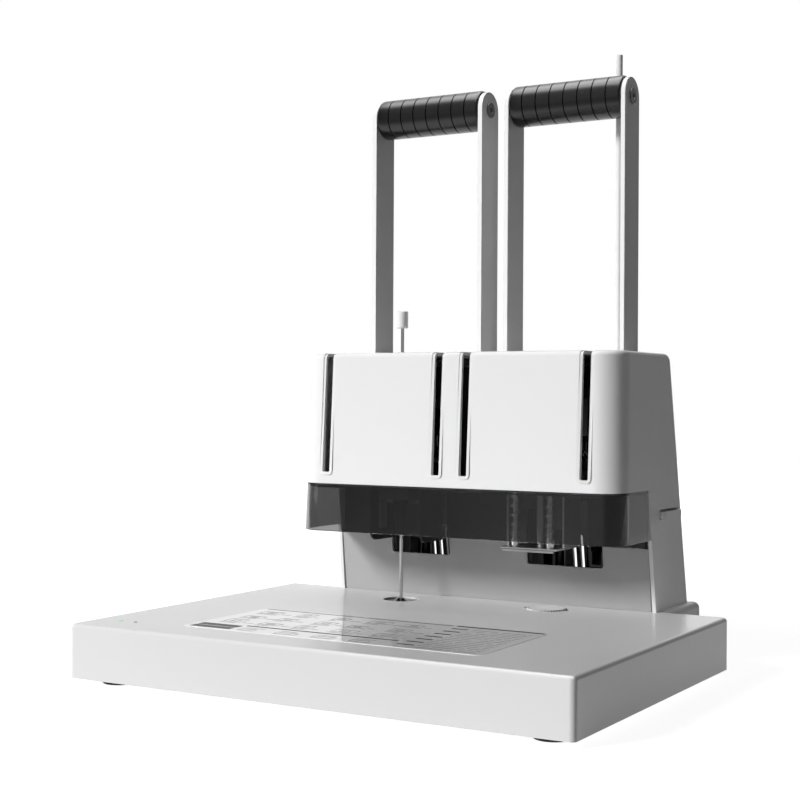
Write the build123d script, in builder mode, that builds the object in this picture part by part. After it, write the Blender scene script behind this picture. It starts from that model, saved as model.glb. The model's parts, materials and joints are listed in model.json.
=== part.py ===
"""Document riveting machine: a desk machine with a drilling and a hot riveting station.

Millimetres, +Z up, the front towards -Y. The origin is the centre of the footprint, on the
surface that the machine stands on. Each station has a lever handle that turns a sector gear,
and the gear drives a carriage down through a rack.
"""

import os
from math import acos, ceil, cos, degrees, pi, radians, sin, sqrt, tan

from build123d import *

os.makedirs("parts", exist_ok=True)

# ---- driving sizes ---------------------------------------------------------------------
# A place named "ahead" or "behind" is measured along Y from the base's rear edge, where the
# tower stands; a "rise" is measured up from the base's top, and a "drop" down from the head's.

# base and rear plinth
base_width = 400.0
base_depth = 290.0
base_height = 39.5
base_wall = 2.5
base_edge = 3.0
base_corner = 4.0
plate_thickness = 1.5
plate_overlap = 6.0
plinth_width = 304.0
plinth_depth = 77.0
plinth_edge = 5.0
foot_height = 5.0
foot_diameter = 26.0
foot_inset = 26.0
foot_chamfer = 1.0
screw_post_wall = 2.5

# tower and head: a body that leans back at the front, forward at the rear and in at the sides
tower_half_width = 144.6
tower_front_ahead = 7.0
tower_front_lean = 0.131
tower_rear_behind = 68.0
rear_lean = 0.164
side_taper = 0.0207
head_front_ahead = 79.7
head_lean = 0.046
head_bottom_rise = 95.5
head_height = 107.0
housing_wall = 3.0
front_corner_radius = 22.0
top_edge_radius = 4.5
rear_top_radius = 8.0
rear_cover_rise = 70.0
rear_cover_wrap = 7.0
panel_gap = 0.3
overrun = 1.0

# visor, head floor, back wall and chassis plate
visor_drop = 39.0
visor_wall = 2.5
visor_flange = 9.0
floor_thickness = 2.0
visor_flange_thickness = 1.5
back_wall_rise = 49.5
back_wall_thickness = 2.5
back_wall_recess = 1.0
back_wall_half_width = 140.2
back_wall_flange = 14.0
window_bottom_rises = (35.0, 32.0)
window_half_width = 27.7
window_corner = 2.0
tube_window_reach = 10.6
chassis_thickness = 2.0
chassis_top_drop = 10.5
chassis_window_drop = 36.5
chassis_slot_width = 9.0
floor_gap = 0.5
floor_opening_ahead = 70.0

# stations
station_offset = 63.3
axis_ahead = 43.5
carriage_travel = 47.5

# handle
pivot_behind = 9.5
pivot_rise = 126.5
handle_length = 281.0
arm_width = 30.0
arm_thickness = 4.0
arm_spacing = 102.2
grip_diameter = 33.5
grip_segments = 8
groove_width = 0.9
groove_depth = 0.9
grip_end_gap = 0.3
tie_rod_diameter = 10.0
shaft_diameter = 12.0
running_clearance = 0.06
end_screw_diameter = 13.0
end_screw_height = 1.2
end_screw_shank = 5.0
end_screw_grip = 8.0
socket_width = 5.0
socket_depth = 0.9
slot_width = 6.8
slot_bottom_rise = 105.0
slot_corner = 1.2
slot_end_clearance = 2.0
rim_width = 2.4
rim_height = 0.8
slot_overrun = 10.0

# gear and rack
gear_module = 1.5
gear_teeth = 39
pressure_angle = 20.0
gear_width = 10.0
gear_backlash = 0.2
hub_diameter = 24.0
hub_width = 14.0
rack_body = 4.875
rack_run_in = 9.0
rack_run_out = 7.0
flank_steps = 4
web_hole_diameter = 7.0
web_hole_step = 34.0

# station frame, guide rods and yoke
cheek_inner = 25.0
cheek_thickness = 2.5
frame_plate = 2.5
frame_top_drop = 12.0
frame_rear_gap = 2.0
cheek_hole_rise = 36.0
cheek_hole_length = 26.0
cheek_hole_width = 18.0
rod_diameter = 8.0
rod_half_spacing = 14.0
rod_behind = 24.0
bush_diameter = 16.0
bush_flange = 1.5
slider_depth = 20.0
slider_half_width = 22.0
slider_bottom_rise = 58.5
slider_height = 42.0
yoke_arm_inner = 14.0
yoke_arm_outer = 20.0
yoke_arm_bottom_rise = 84.5
yoke_arm_top_rise = 108.5
yoke_plate_thickness = 6.0
yoke_plate_bottom_rise = 78.5
yoke_plate_top_rise = 112.5
yoke_lip_depth = 10.0
yoke_lip_thickness = 2.0
yoke_lip_inset = 0.5
yoke_lip_bottom_rise = 57.5

# return spring round the pivot shaft
return_wire = 2.0
return_radius = 8.6
return_leg = 8.0
return_turns = 4
return_span = (9.0, 22.0)

# riveting station
bracket_half_width = 24.5
bracket_thickness = 2.0
bracket_front_ahead = 54.0
bracket_rear_ahead = 18.0
bracket_bottom_rise = 48.0
bracket_corner = 8.0
heater_width = 24.0
heater_bottom_rise = 82.5
heater_height = 24.0
cartridge_diameter = 6.0
cartridge_offset = 7.5
insulator_thickness = 2.0
die_nose_diameter = 9.0
die_flange_diameter = 14.0
die_flange_height = 4.0
die_tip_rise = 53.0
die_bore = 4.0
needle_diameter = 2.8
needle_bottom_drop = 2.5
needle_knob_diameter = 9.3
needle_knob_height = 14.2
needle_knob_round = 0.8
needle_knob_lift = 20.8
bush_flange_diameter = 9.0
bush_flange_height = 1.0
bush_barrel_diameter = 6.5
bush_barrel_length = 10.0
needle_clearance = 0.1
lower_seat_diameter = 29.0
lower_seat_recess = 1.2
lower_seat_height = 6.0
lower_die_diameter = 13.0
lower_die_height = 1.0
lower_die_top_diameter = 5.6
lower_die_bore = 3.4

# drilling station
spindle_housing_half_width = 20.0
spindle_housing_rise = 112.5
spindle_housing_height = 28.0
spindle_ledge_reach = 20.5
spindle_ledge_height = 5.5
spindle_ledge_lift = 3.5
bearing_diameter = 19.0
bearing_height = 5.0
spindle_diameter = 10.0
motor_diameter = 32.0
motor_top_drop = 16.0
motor_collar = 12.0
motor_cap_height = 3.0
motor_round = 1.5
chuck_diameter = 18.0
chuck_height = 13.0
chuck_gap = 1.0
chuck_chamfer = 1.2
drill_diameter = 7.0
drill_bore = 5.0
drill_tip_rise = 48.6
drill_seat_depth = 6.0
chip_hole_diameter = 4.0
foot_half_width = 24.5
foot_sheet = 1.6
foot_bottom_rise = 49.4
foot_front_ahead = 69.0
foot_rear_ahead = 33.1
foot_flange_ahead = 22.0
foot_flange_rise = 100.5
foot_bend = 3.0
foot_edge_round = 1.44
foot_lip_drop = 1.5
foot_hole = 9.0
foot_side_gap = 0.8
presser_rod_diameter = 4.0
presser_rod_half_spacing = 14.7
presser_rod_ahead = 59.0
presser_nut_diameter = 6.4
presser_nut_height = 3.5
presser_head_diameter = 7.0
presser_head_height = 1.7
presser_wire = 1.3
presser_coil_radius = 3.3
presser_coil_pitch = 5.4
spring_gap = 0.3
pad_diameter = 31.3
pad_ahead = 32.7
pad_proud = 0.8
pad_thickness = 6.0
pad_gap = 0.5
pad_pin_diameter = 6.0
pad_pin_length = 3.0
pad_ribs = 40
pad_rib_depth = 0.7
pad_notch_diameter = 7.0
well_wall = 3.0
well_floor = 2.0

# rivet tube and its cutter
tube_x = 97.2
tube_behind = 29.3
tube_diameter = 5.3
tube_bore = 3.7
tube_top_rise = 445.8
tube_bottom_rise = 79.5
guide_diameter = 7.6
guide_bore = 5.5
guide_top_drop = 14.5
guide_bottom_rise = 82.0
guide_ear_height = 8.0
guide_ear_overlap = 1.0
tube_hole_diameter = 6.8
cutter_pivot_x = 131.0
cutter_pivot_behind = 43.0
cutter_pin_diameter = 5.0
cutter_pin_proud = 0.5
cutter_bracket_rise = 66.5
cutter_bracket_thickness = 4.0
bracket_margin = 10.0
bracket_hole_shift = 0.6
bracket_flange_drop = 2.5
lever_rise = 72.0
lever_thickness = 5.5
lever_tab_proud = 4.2
lever_tab_behind = 5.5
lever_tab_length = 38.5
lever_slot_margin = 1.5
lever_tab_corner = 3.0
lever_arm_thickness = 2.0
blade_thickness = 1.5
blade_gap = 1.0
blade_tip_gap = 2.0
blade_back_taper = 1.0
blade_seat_x = 104.0
blade_seat_length = 14.0
chute_wall = 1.2
chute_width = 10.4
chute_slope = 21.0
chute_depth = 12.0
chute_lift = 1.0

# rear cover fittings
cover_screw_rises = (12.0, 58.0)
cover_screw_x = 131.0
cover_tab = 12.0
cover_tab_root = 2.0
inlet_x = -8.0
inlet_width = 28.0
inlet_height = 20.0
inlet_depth = 18.0
inlet_flange = 3.0
inlet_flange_thickness = 1.5
inlet_rise = 30.0
switch_x = 21.0
switch_width = 14.0
switch_height = 20.0
fitting_gap = 0.3
rocker_well = 13.0
rocker_end_gap = 0.9
rocker_rise = 1.5
rocker_body = 4.0
rocker_tilt = 8.0
pin_width = 2.0
pin_height = 4.0
pin_spacing = 7.0
pin_lift = 2.0
vent_count = 9
vent_length = 34.0
vent_width = 3.0
vent_pitch = 7.0
vent_group_x = 75.0
screw_head_diameter = 6.5
screw_head_height = 1.8
screw_shank_diameter = 3.5
screw_length = 9.0

# lights and label on the base
light_diameter = 3.0
light_setback = 30.0
light_insets = (23.0, 37.0)
light_proud = 0.6
light_tail = 1.0
light_round = 0.5
light_clearance = 0.05
label_width = 242.6
label_depth = 107.0
label_centre_x = -2.7
label_setback = 88.5
label_corner = 5.0
label_thickness = 0.25

# power unit in the plinth
board_width = 110.0
board_depth = 52.0
board_thickness = 1.6
board_standoff = 6.0
transformer_size = (42.0, 36.0, 22.0)
capacitor_diameter = 14.0
capacitor_height = 20.0
capacitor_pitch = 18.2

# ---- places worked out from the driving sizes ------------------------------------------

front_y = -(base_depth + plinth_depth) / 2
seam_y = front_y + base_depth
base_bottom = foot_height
base_top = base_bottom + base_height
head_bottom = base_top + head_bottom_rise
head_top = head_bottom + head_height
visor_bottom = head_bottom - visor_drop
head_front_y = seam_y - head_front_ahead
axis_y = seam_y - axis_ahead
pivot_y = seam_y + pivot_behind
tube_y = seam_y + tube_behind
pivot_z = base_top + pivot_rise
pitch_radius = gear_module * gear_teeth / 2
tip_radius = pitch_radius + gear_module
root_radius = pitch_radius - 1.25 * gear_module
rack_pitch_y = pivot_y - pitch_radius
rack_root_y = rack_pitch_y - 1.25 * gear_module
yoke_plate_y = rack_root_y - rack_body - yoke_plate_thickness
stations = (-station_offset, station_offset)
arm_offset = arm_spacing / 2
slot_xs = [x + side * arm_offset for x in stations for side in (-1, 1)]
handle_swing = carriage_travel / pitch_radius
rear_cover_top = base_top + rear_cover_rise
grip_z = pivot_z + handle_length


def front_at(z):
    """front face of the head at a height"""
    return head_front_y + head_lean * (z - head_bottom)


def rear_at(z):
    """rear face of the tower at a height"""
    return seam_y + tower_rear_behind - rear_lean * (z - base_top)


def half_width_at(z):
    """side face of the tower and head at a height"""
    return tower_half_width - side_taper * (z - base_top)


def tower_front_at(z):
    """front edge of the tower's sides at a height"""
    return seam_y - tower_front_ahead - tower_front_lean * (z - base_top)


def back_wall_at(z):
    """front face of the back wall at a height"""
    return tower_front_at(z) + back_wall_recess


chassis_y = back_wall_at(base_top + back_wall_rise)


def tapered_body(z_low, z_high, inset):
    """the tower and head as a plain tapering body, its four faces moved inwards"""
    with BuildPart() as body:
        with BuildSketch(Plane.YZ):
            with BuildLine():
                Polyline(
                    (front_at(z_low) + inset, z_low),
                    (rear_at(z_low) - inset, z_low),
                    (rear_at(z_high) - inset, z_high),
                    (front_at(z_high) + inset, z_high),
                    close=True,
                )
            make_face()
        extrude(amount=base_width / 2, both=True)
        with BuildSketch(Plane.XZ):
            with BuildLine():
                Polyline(
                    (inset - half_width_at(z_low), z_low),
                    (half_width_at(z_low) - inset, z_low),
                    (half_width_at(z_high) - inset, z_high),
                    (inset - half_width_at(z_high), z_high),
                    close=True,
                )
            make_face()
        extrude(amount=base_depth + plinth_depth, both=True, mode=Mode.INTERSECT)
    return body.part


def upright_edges(body):
    """the four corner edges of a tapering body, the front ones first"""
    return body.edges().filter_by(lambda edge: abs(edge.tangent_at(0.5).Z) > 0.9).sort_by(Axis.Y)


def envelope(z_low, z_high, inset):
    """the tapering body between two heights, rounded at its front corners only"""
    with BuildPart() as body:
        add(tapered_body(z_low, z_high, inset))
        fillet(upright_edges(body)[:2], front_corner_radius - inset)
    return body.part


def tower_form(inset, low=base_top):
    """the whole body up to its top; outside its edges are rounded, inside they stay sharp"""
    with BuildPart() as body:
        add(tapered_body(low, head_top - inset, inset))
        top_face = body.faces().sort_by(Axis.Z)[-1]
        fillet(top_face.edges().sort_by(Axis.Y)[-1], rear_top_radius - inset)
        fillet(upright_edges(body)[:2], front_corner_radius - inset)
        if inset <= 0:
            top_face = body.faces().sort_by(Axis.Z)[-1]
            fillet(top_face.edges().sort_by(Axis.Y)[0], top_edge_radius - inset)
    return body.part


def block(xs, ys, zs, mode=Mode.ADD):
    """a box between limits in X, Y and Z, in the part being built"""
    with Locations((sum(xs) / 2, sum(ys) / 2, sum(zs) / 2)):
        Box(xs[1] - xs[0], ys[1] - ys[0], zs[1] - zs[0], mode=mode)


def side_profile(points, half_width):
    """a slab whose outline is given in Y and Z, on both sides of X = 0"""
    with BuildPart() as slab:
        with BuildSketch(Plane.YZ):
            with BuildLine():
                Polyline(*points, close=True)
            make_face()
        extrude(amount=half_width, both=True)
    return slab.part


def slot_bar(x, width, bottom, corner, rear):
    """a bar along Y that cuts or rims one handle slot"""
    height = head_top + slot_overrun - bottom
    with BuildPart() as bar:
        with BuildSketch(Plane.XZ.offset(slot_overrun - head_front_y)) as section:
            with Locations((x, bottom + height / 2)):
                Rectangle(width, height)
            fillet(section.vertices().group_by(Axis.Y)[0], corner)
        extrude(amount=head_front_y - slot_overrun - rear)
    return bar.part


def coil(radius, pitch, turns, start_angle=0.0):
    """points and tangents of a coil about +Z at every half turn"""
    slope = pitch / (2 * pi)
    stations_on_coil = []
    for k in range(int(2 * turns) + 1):
        angle = radians(start_angle) + k * pi
        point = Vector(radius * cos(angle), radius * sin(angle), slope * k * pi)
        tangent = Vector(-radius * sin(angle), radius * cos(angle), slope).normalized()
        stations_on_coil.append((point, tangent))
    return stations_on_coil


def biarc_joint(p0, t0, p1, t1):
    """where the two arcs between two points with given tangents meet"""
    chord = p1 - p0
    total = t0 + t1
    spread = 2 * (1 - t0.dot(t1))
    reach = (-chord.dot(total) + sqrt(chord.dot(total) ** 2 + spread * chord.dot(chord))) / spread
    return (p0 + p1 + (t0 - t1) * reach) * 0.5


def coil_spring(radius, pitch, turns, wire):
    """a spring wound about +Z from z = 0, one unbroken tube"""
    marks = coil(radius, pitch, turns)
    with BuildPart() as spring:
        with BuildLine() as path:
            for (p0, t0), (p1, t1) in zip(marks, marks[1:]):
                joint = biarc_joint(p0, t0, p1, t1)
                first_arc = TangentArc(p0, joint, tangent=t0)
                TangentArc(joint, p1, tangent=first_arc % 1)
        with BuildSketch(Plane(origin=marks[0][0], z_dir=marks[0][1])):
            Circle(wire / 2)
        sweep(path=path.wires()[0])
    return spring.part


# ---- base ------------------------------------------------------------------------------

lower_seat_floor = base_top - lower_seat_recess - lower_seat_height
pad_floor = base_top + pad_proud - pad_thickness - pad_gap
pad_y = seam_y - pad_ahead
pad_pocket = pad_diameter + 2 * pad_gap
seat_pocket = lower_seat_diameter + panel_gap
light_places = [(inset - base_width / 2, front_y + light_setback) for inset in light_insets]
screw_places = [
    (side * (base_width / 2 - 2 * foot_inset), y)
    for side in (-1, 1)
    for y in (front_y + foot_inset, seam_y - foot_inset)
]

with BuildPart() as base_cover:
    with BuildSketch(Plane.XY.offset(base_bottom)):
        with Locations((0, front_y + base_depth / 2)):
            RectangleRounded(base_width, base_depth, base_corner)
    extrude(amount=base_height)
    fillet(base_cover.faces().sort_by(Axis.Z)[-1].edges(), base_edge)
    with BuildSketch(Plane.XY.offset(base_bottom)):
        with Locations((0, front_y + base_depth / 2)):
            RectangleRounded(base_width - 2 * base_wall, base_depth - 2 * base_wall, base_corner - base_wall)
    extrude(amount=base_height - base_wall, mode=Mode.SUBTRACT)
    # wells under the top for the lower die and the drill pad
    with BuildSketch(Plane.XY.offset(base_top)):
        with Locations((-station_offset, axis_y)):
            Circle(seat_pocket / 2 + well_wall)
    extrude(amount=-(base_top - lower_seat_floor + well_floor))
    with BuildSketch(Plane.XY.offset(base_top)):
        with Locations((station_offset, pad_y)):
            Circle(pad_pocket / 2 + well_wall)
            with Locations((-pad_pocket / 2, 0), (pad_pocket / 2, 0)):
                Circle(pad_notch_diameter / 2 + well_wall)
    extrude(amount=-(base_top - pad_floor + well_floor + pad_pin_length))
    with BuildSketch(Plane.XY.offset(base_top)):
        with Locations((-station_offset, axis_y)):
            Circle(seat_pocket / 2)
    extrude(amount=-(base_top - lower_seat_floor), mode=Mode.SUBTRACT)
    with BuildSketch(Plane.XY.offset(base_top)):
        with Locations((station_offset, pad_y)):
            Circle(pad_pocket / 2)
            with Locations((-pad_pocket / 2, 0), (pad_pocket / 2, 0)):
                Circle(pad_notch_diameter / 2)
    extrude(amount=-(base_top - pad_floor), mode=Mode.SUBTRACT)
    with BuildSketch(Plane.XY.offset(pad_floor)):
        with Locations((station_offset, pad_y)):
            Circle(pad_pin_diameter / 2 + running_clearance)
    extrude(amount=-(pad_pin_length + pad_gap), mode=Mode.SUBTRACT)
    with BuildSketch(Plane.XY.offset(base_top)):
        with Locations(*light_places):
            Circle(light_diameter / 2 + light_clearance)
    extrude(amount=-base_wall, mode=Mode.SUBTRACT)
    # screw posts, and the gap in the back wall for the base plate's tongue
    with BuildSketch(Plane.XY.offset(base_bottom + plate_thickness)):
        with Locations(*screw_places):
            Circle(screw_shank_diameter / 2 + screw_post_wall)
    extrude(amount=base_height - plate_thickness - base_wall)
    with BuildSketch(Plane.XY.offset(base_bottom)):
        with Locations((0, seam_y - base_wall / 2)):
            Rectangle(plinth_width - 2 * base_wall, base_wall)
    extrude(amount=plate_thickness, mode=Mode.SUBTRACT)
    with BuildSketch(Plane.XY.offset(base_bottom + plate_thickness)):
        with Locations(*screw_places):
            Circle(screw_shank_diameter / 2)
    extrude(amount=screw_length, mode=Mode.SUBTRACT)

with BuildPart() as base_plate:
    with BuildSketch(Plane.XY.offset(base_bottom)):
        with Locations((0, front_y + base_depth / 2)):
            RectangleRounded(
                base_width - 2 * base_wall - panel_gap,
                base_depth - 2 * base_wall - panel_gap,
                base_corner - base_wall,
            )
        with Locations((0, seam_y + (plinth_depth - base_wall - panel_gap) / 2 - plate_overlap)):
            Rectangle(
                plinth_width - 2 * base_wall - panel_gap,
                plinth_depth - base_wall - panel_gap + 2 * plate_overlap,
            )
    extrude(amount=plate_thickness)
    with BuildSketch(Plane.XY.offset(base_bottom)):
        with Locations(*screw_places):
            Circle(screw_shank_diameter / 2)
    extrude(amount=plate_thickness, mode=Mode.SUBTRACT)

with BuildPart() as rubber_feet:
    with BuildSketch(Plane.XY):
        with Locations((0, front_y + base_depth / 2)):
            with GridLocations(base_width - 2 * foot_inset, base_depth - 2 * foot_inset, 2, 2):
                Circle(foot_diameter / 2)
    extrude(amount=foot_height)
    chamfer(rubber_feet.faces().group_by(Axis.Z)[0].edges(), foot_chamfer)

with BuildPart() as rear_plinth:
    with BuildSketch(Plane.XY.offset(base_bottom)):
        with Locations((0, seam_y + plinth_depth / 2)):
            Rectangle(plinth_width, plinth_depth)
    extrude(amount=base_height)
    fillet(rear_plinth.edges().filter_by(Axis.Z).group_by(Axis.Y)[-1], plinth_edge)
    top_face = rear_plinth.faces().sort_by(Axis.Z)[-1]
    fillet(top_face.edges().sort_by(Axis.Y)[1:], plinth_edge)
    with BuildSketch(Plane.XY.offset(base_bottom)):
        with Locations((0, seam_y + plinth_depth / 2 - base_wall)):
            Rectangle(plinth_width - 2 * base_wall, plinth_depth)
    extrude(amount=base_height - base_wall, mode=Mode.SUBTRACT)

with BuildPart() as status_lights:
    with BuildSketch(Plane.XY.offset(base_top - base_wall - light_tail)):
        with Locations(*light_places):
            Circle(light_diameter / 2)
    extrude(amount=base_wall + light_tail + light_proud)
    fillet(status_lights.faces().group_by(Axis.Z)[-1].edges(), light_round)

with BuildPart() as label:
    with BuildSketch(Plane.XY.offset(base_top)):
        with Locations((label_centre_x, front_y + label_setback)):
            RectangleRounded(label_width, label_depth, label_corner)
    extrude(amount=label_thickness)

with BuildPart() as die_seat:
    with BuildSketch(Plane.XY.offset(lower_seat_floor)):
        with Locations((-station_offset, axis_y)):
            Circle(lower_seat_diameter / 2)
            Circle(lower_die_diameter / 2, mode=Mode.SUBTRACT)
    extrude(amount=lower_seat_height)

with BuildPart() as lower_die:
    with BuildSketch(Plane.XZ.offset(-axis_y)):
        with BuildLine():
            Polyline(
                (-station_offset + lower_die_bore / 2, lower_seat_floor),
                (-station_offset + lower_die_diameter / 2, lower_seat_floor),
                (-station_offset + lower_die_diameter / 2, lower_seat_floor + lower_seat_height),
                (-station_offset + lower_die_top_diameter / 2, base_top + lower_die_height),
                (-station_offset + lower_die_bore / 2, base_top + lower_die_height),
                close=True,
            )
        make_face()
    revolve(axis=Axis((-station_offset, axis_y, 0), (0, 0, 1)))

with BuildPart() as drill_pad:
    with BuildSketch(Plane.XY.offset(pad_floor + pad_gap)):
        with Locations((station_offset, pad_y)):
            Circle(pad_diameter / 2)
            with PolarLocations(pad_diameter / 2 + pad_rib_depth / 2, pad_ribs):
                Circle(pad_rib_depth, mode=Mode.SUBTRACT)
    extrude(amount=pad_thickness)
    with BuildSketch(Plane.XY.offset(pad_floor + pad_gap)):
        with Locations((station_offset, pad_y)):
            Circle(pad_pin_diameter / 2)
    extrude(amount=-(pad_pin_length + pad_gap / 2))

# ---- casing ----------------------------------------------------------------------------

cavity_low = base_top - overrun
throat = side_profile(
    [
        (front_y + base_wall, cavity_low),
        (tower_front_at(cavity_low), cavity_low),
        (tower_front_at(head_bottom), head_bottom),
        (front_y + base_wall, head_bottom),
    ],
    base_width / 2,
)
slot_rear = pivot_y + arm_width / 2 + slot_end_clearance
slot_bottom = base_top + slot_bottom_rise
tab_slot_y = (
    seam_y + lever_tab_behind - lever_slot_margin,
    seam_y + lever_tab_behind + lever_tab_length + 2 * lever_slot_margin,
)
tab_slot_z = (
    base_top + lever_rise - lever_slot_margin / 2,
    base_top + lever_rise + lever_thickness + lever_slot_margin,
)


def cover_region(gap):
    """where the rear cover takes over from the housing"""
    seam = -rear_cover_wrap + gap
    return side_profile(
        [
            (rear_at(cavity_low) + seam, cavity_low),
            (rear_at(rear_cover_top) + seam, rear_cover_top - gap),
            (rear_at(base_top) + rear_cover_wrap, rear_cover_top - gap),
            (rear_at(base_top) + rear_cover_wrap, cavity_low),
        ],
        base_width / 2,
    )


def rear_plane(x, z):
    """the rear cover's sloping outer face, seen from behind"""
    return Plane(origin=(x, rear_at(z), z), x_dir=(-1, 0, 0), z_dir=(0, 1, rear_lean))


with BuildPart() as slot_rims:
    for slot_x in slot_xs:
        add(
            slot_bar(
                slot_x,
                slot_width + 2 * rim_width,
                slot_bottom - rim_width,
                slot_corner + rim_width,
                slot_rear + rim_width,
            )
        )
    add(tower_form(-rim_height), mode=Mode.INTERSECT)

with BuildPart() as housing:
    add(tower_form(0))
    add(slot_rims.part)
    add(tower_form(housing_wall, cavity_low), mode=Mode.SUBTRACT)
    add(throat, mode=Mode.SUBTRACT)
    for slot_x in slot_xs:
        add(slot_bar(slot_x, slot_width, slot_bottom, slot_corner, slot_rear), mode=Mode.SUBTRACT)
    add(cover_region(0), mode=Mode.SUBTRACT)
    tab_slot_x = (tower_half_width - 2 * housing_wall, tower_half_width + housing_wall)
    block(tab_slot_x, tab_slot_y, tab_slot_z, Mode.SUBTRACT)
    with BuildSketch(Plane.XY.offset(head_top)):
        with Locations((-station_offset, axis_y)):
            Circle(bush_barrel_diameter / 2)
        with Locations((tube_x, tube_y)):
            Circle(tube_hole_diameter / 2)
    extrude(amount=-(housing_wall + rear_top_radius), mode=Mode.SUBTRACT)
    # tabs inside the seam that take the rear cover's screws
    for side in (-1, 1):
        for rise in cover_screw_rises:
            z_range = (base_top + rise - cover_tab / 2, base_top + rise + cover_tab / 2)
            y_seam = rear_at(z_range[1]) - rear_cover_wrap
            wall_x = half_width_at(z_range[1]) - housing_wall
            block(
                sorted((side * (wall_x - cover_tab - cover_tab_root), side * (wall_x + housing_wall / 2))),
                (y_seam - housing_wall, y_seam),
                z_range,
            )

with BuildPart() as rear_cover:
    add(tower_form(0))
    add(tower_form(housing_wall, cavity_low), mode=Mode.SUBTRACT)
    add(cover_region(panel_gap), mode=Mode.INTERSECT)
    # pads that reach from the back of the cover to the housing's tabs
    for side in (-1, 1):
        for rise in cover_screw_rises:
            z = base_top + rise
            y_seam = rear_at(z + cover_tab / 2) - rear_cover_wrap
            pad = Plane(origin=(side * cover_screw_x, y_seam, z), x_dir=(-1, 0, 0), z_dir=(0, 1, 0))
            with BuildSketch(pad):
                Circle(screw_head_diameter / 2)
            extrude(amount=rear_cover_wrap - housing_wall / 2)
    for vent_x in (-vent_group_x, vent_group_x):
        with BuildSketch(rear_plane(vent_x, base_top + rear_cover_rise / 2)):
            with GridLocations(vent_pitch, vent_length, vent_count, 1):
                SlotOverall(vent_length, vent_width, rotation=90)
        extrude(amount=-2 * housing_wall, mode=Mode.SUBTRACT)
    with BuildSketch(rear_plane(inlet_x, base_top + inlet_rise)):
        Rectangle(inlet_width, inlet_height)
    extrude(amount=-2 * housing_wall, mode=Mode.SUBTRACT)
    with BuildSketch(rear_plane(switch_x, base_top + inlet_rise)):
        Rectangle(switch_width, switch_height)
    extrude(amount=-2 * housing_wall, mode=Mode.SUBTRACT)

window_xs = (
    (-station_offset - window_half_width, -station_offset + window_half_width),
    (station_offset - window_half_width, station_offset + window_half_width + tube_window_reach),
)
wall_top = base_top + back_wall_rise


def cut_window(xs, bottom, top, corner):
    """a window through the back panels, rounded at its lower corners, in the part being built"""
    with BuildSketch(Plane.XZ.offset(tower_front_ahead - seam_y - 2 * back_wall_thickness)) as opening:
        with Locations(((xs[0] + xs[1]) / 2, (bottom + top) / 2)):
            Rectangle(xs[1] - xs[0], top - bottom)
        fillet(opening.vertices().group_by(Axis.Z)[0], corner)
    extrude(opening.sketch, amount=6 * back_wall_thickness, mode=Mode.SUBTRACT)


with BuildPart() as back_wall:
    add(
        side_profile(
            [
                (back_wall_at(base_top), base_top),
                (back_wall_at(wall_top), wall_top),
                (back_wall_at(wall_top) + back_wall_thickness, wall_top),
                (back_wall_at(base_top) + back_wall_thickness, base_top),
            ],
            back_wall_half_width,
        )
    )
    for xs, rise in zip(window_xs, window_bottom_rises):
        cut_window(xs, base_top + rise, wall_top + back_wall_thickness, window_corner)
    # side flanges that screw to the tower's walls
    for side in (-1, 1):
        block(
            sorted((side * back_wall_half_width, side * (back_wall_half_width - back_wall_thickness))),
            (back_wall_at(base_top) + back_wall_thickness / 2, back_wall_at(base_top) + back_wall_flange),
            (base_top, wall_top - back_wall_flange),
        )

chassis_top = head_top - chassis_top_drop
chassis_half_width = half_width_at(chassis_top) - housing_wall - panel_gap

with BuildPart() as chassis_plate:
    block(
        (-chassis_half_width, chassis_half_width),
        (chassis_y, chassis_y + chassis_thickness),
        (wall_top + panel_gap, chassis_top),
    )
    for xs in window_xs:
        block(
            xs,
            (chassis_y, chassis_y + chassis_thickness),
            (wall_top, head_top - chassis_window_drop),
            Mode.SUBTRACT,
        )
    for slot_x in slot_xs:
        block(
            (slot_x - chassis_slot_width / 2, slot_x + chassis_slot_width / 2),
            (chassis_y, chassis_y + chassis_thickness),
            (slot_bottom - slot_end_clearance, chassis_top),
            Mode.SUBTRACT,
        )

floor_top = head_bottom - visor_flange_thickness
front_of_tower = side_profile(
    [
        (front_y, visor_bottom - overrun),
        (tower_front_at(visor_bottom - overrun) - panel_gap, visor_bottom - overrun),
        (tower_front_at(head_bottom + overrun) - panel_gap, head_bottom + overrun),
        (front_y, head_bottom + overrun),
    ],
    base_width / 2,
)

with BuildPart() as visor:
    add(envelope(visor_bottom, head_bottom, 0))
    add(envelope(visor_bottom - overrun, floor_top, visor_wall), mode=Mode.SUBTRACT)
    add(envelope(floor_top - overrun, head_bottom + overrun, visor_flange), mode=Mode.SUBTRACT)
    add(front_of_tower, mode=Mode.INTERSECT)

with BuildPart() as head_floor:
    add(envelope(floor_top - floor_thickness, floor_top, visor_wall + floor_gap))
    add(front_of_tower, mode=Mode.INTERSECT)
    for station_x in stations:
        block(
            (station_x - window_half_width, station_x + window_half_width),
            (seam_y - floor_opening_ahead, chassis_y),
            (floor_top - floor_thickness, floor_top),
            Mode.SUBTRACT,
        )

# ---- handles ---------------------------------------------------------------------------

arm_inner = arm_offset - arm_thickness / 2
arm_outer = arm_offset + arm_thickness / 2


def rod_along_x(x0, x1, y, z, diameter):
    """a round bar between two X places, in the part being built"""
    with BuildSketch(Plane(origin=(x0, y, z), x_dir=(0, 1, 0), z_dir=(1, 0, 0))) as section:
        Circle(diameter / 2)
    extrude(section.sketch, amount=x1 - x0)


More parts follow.
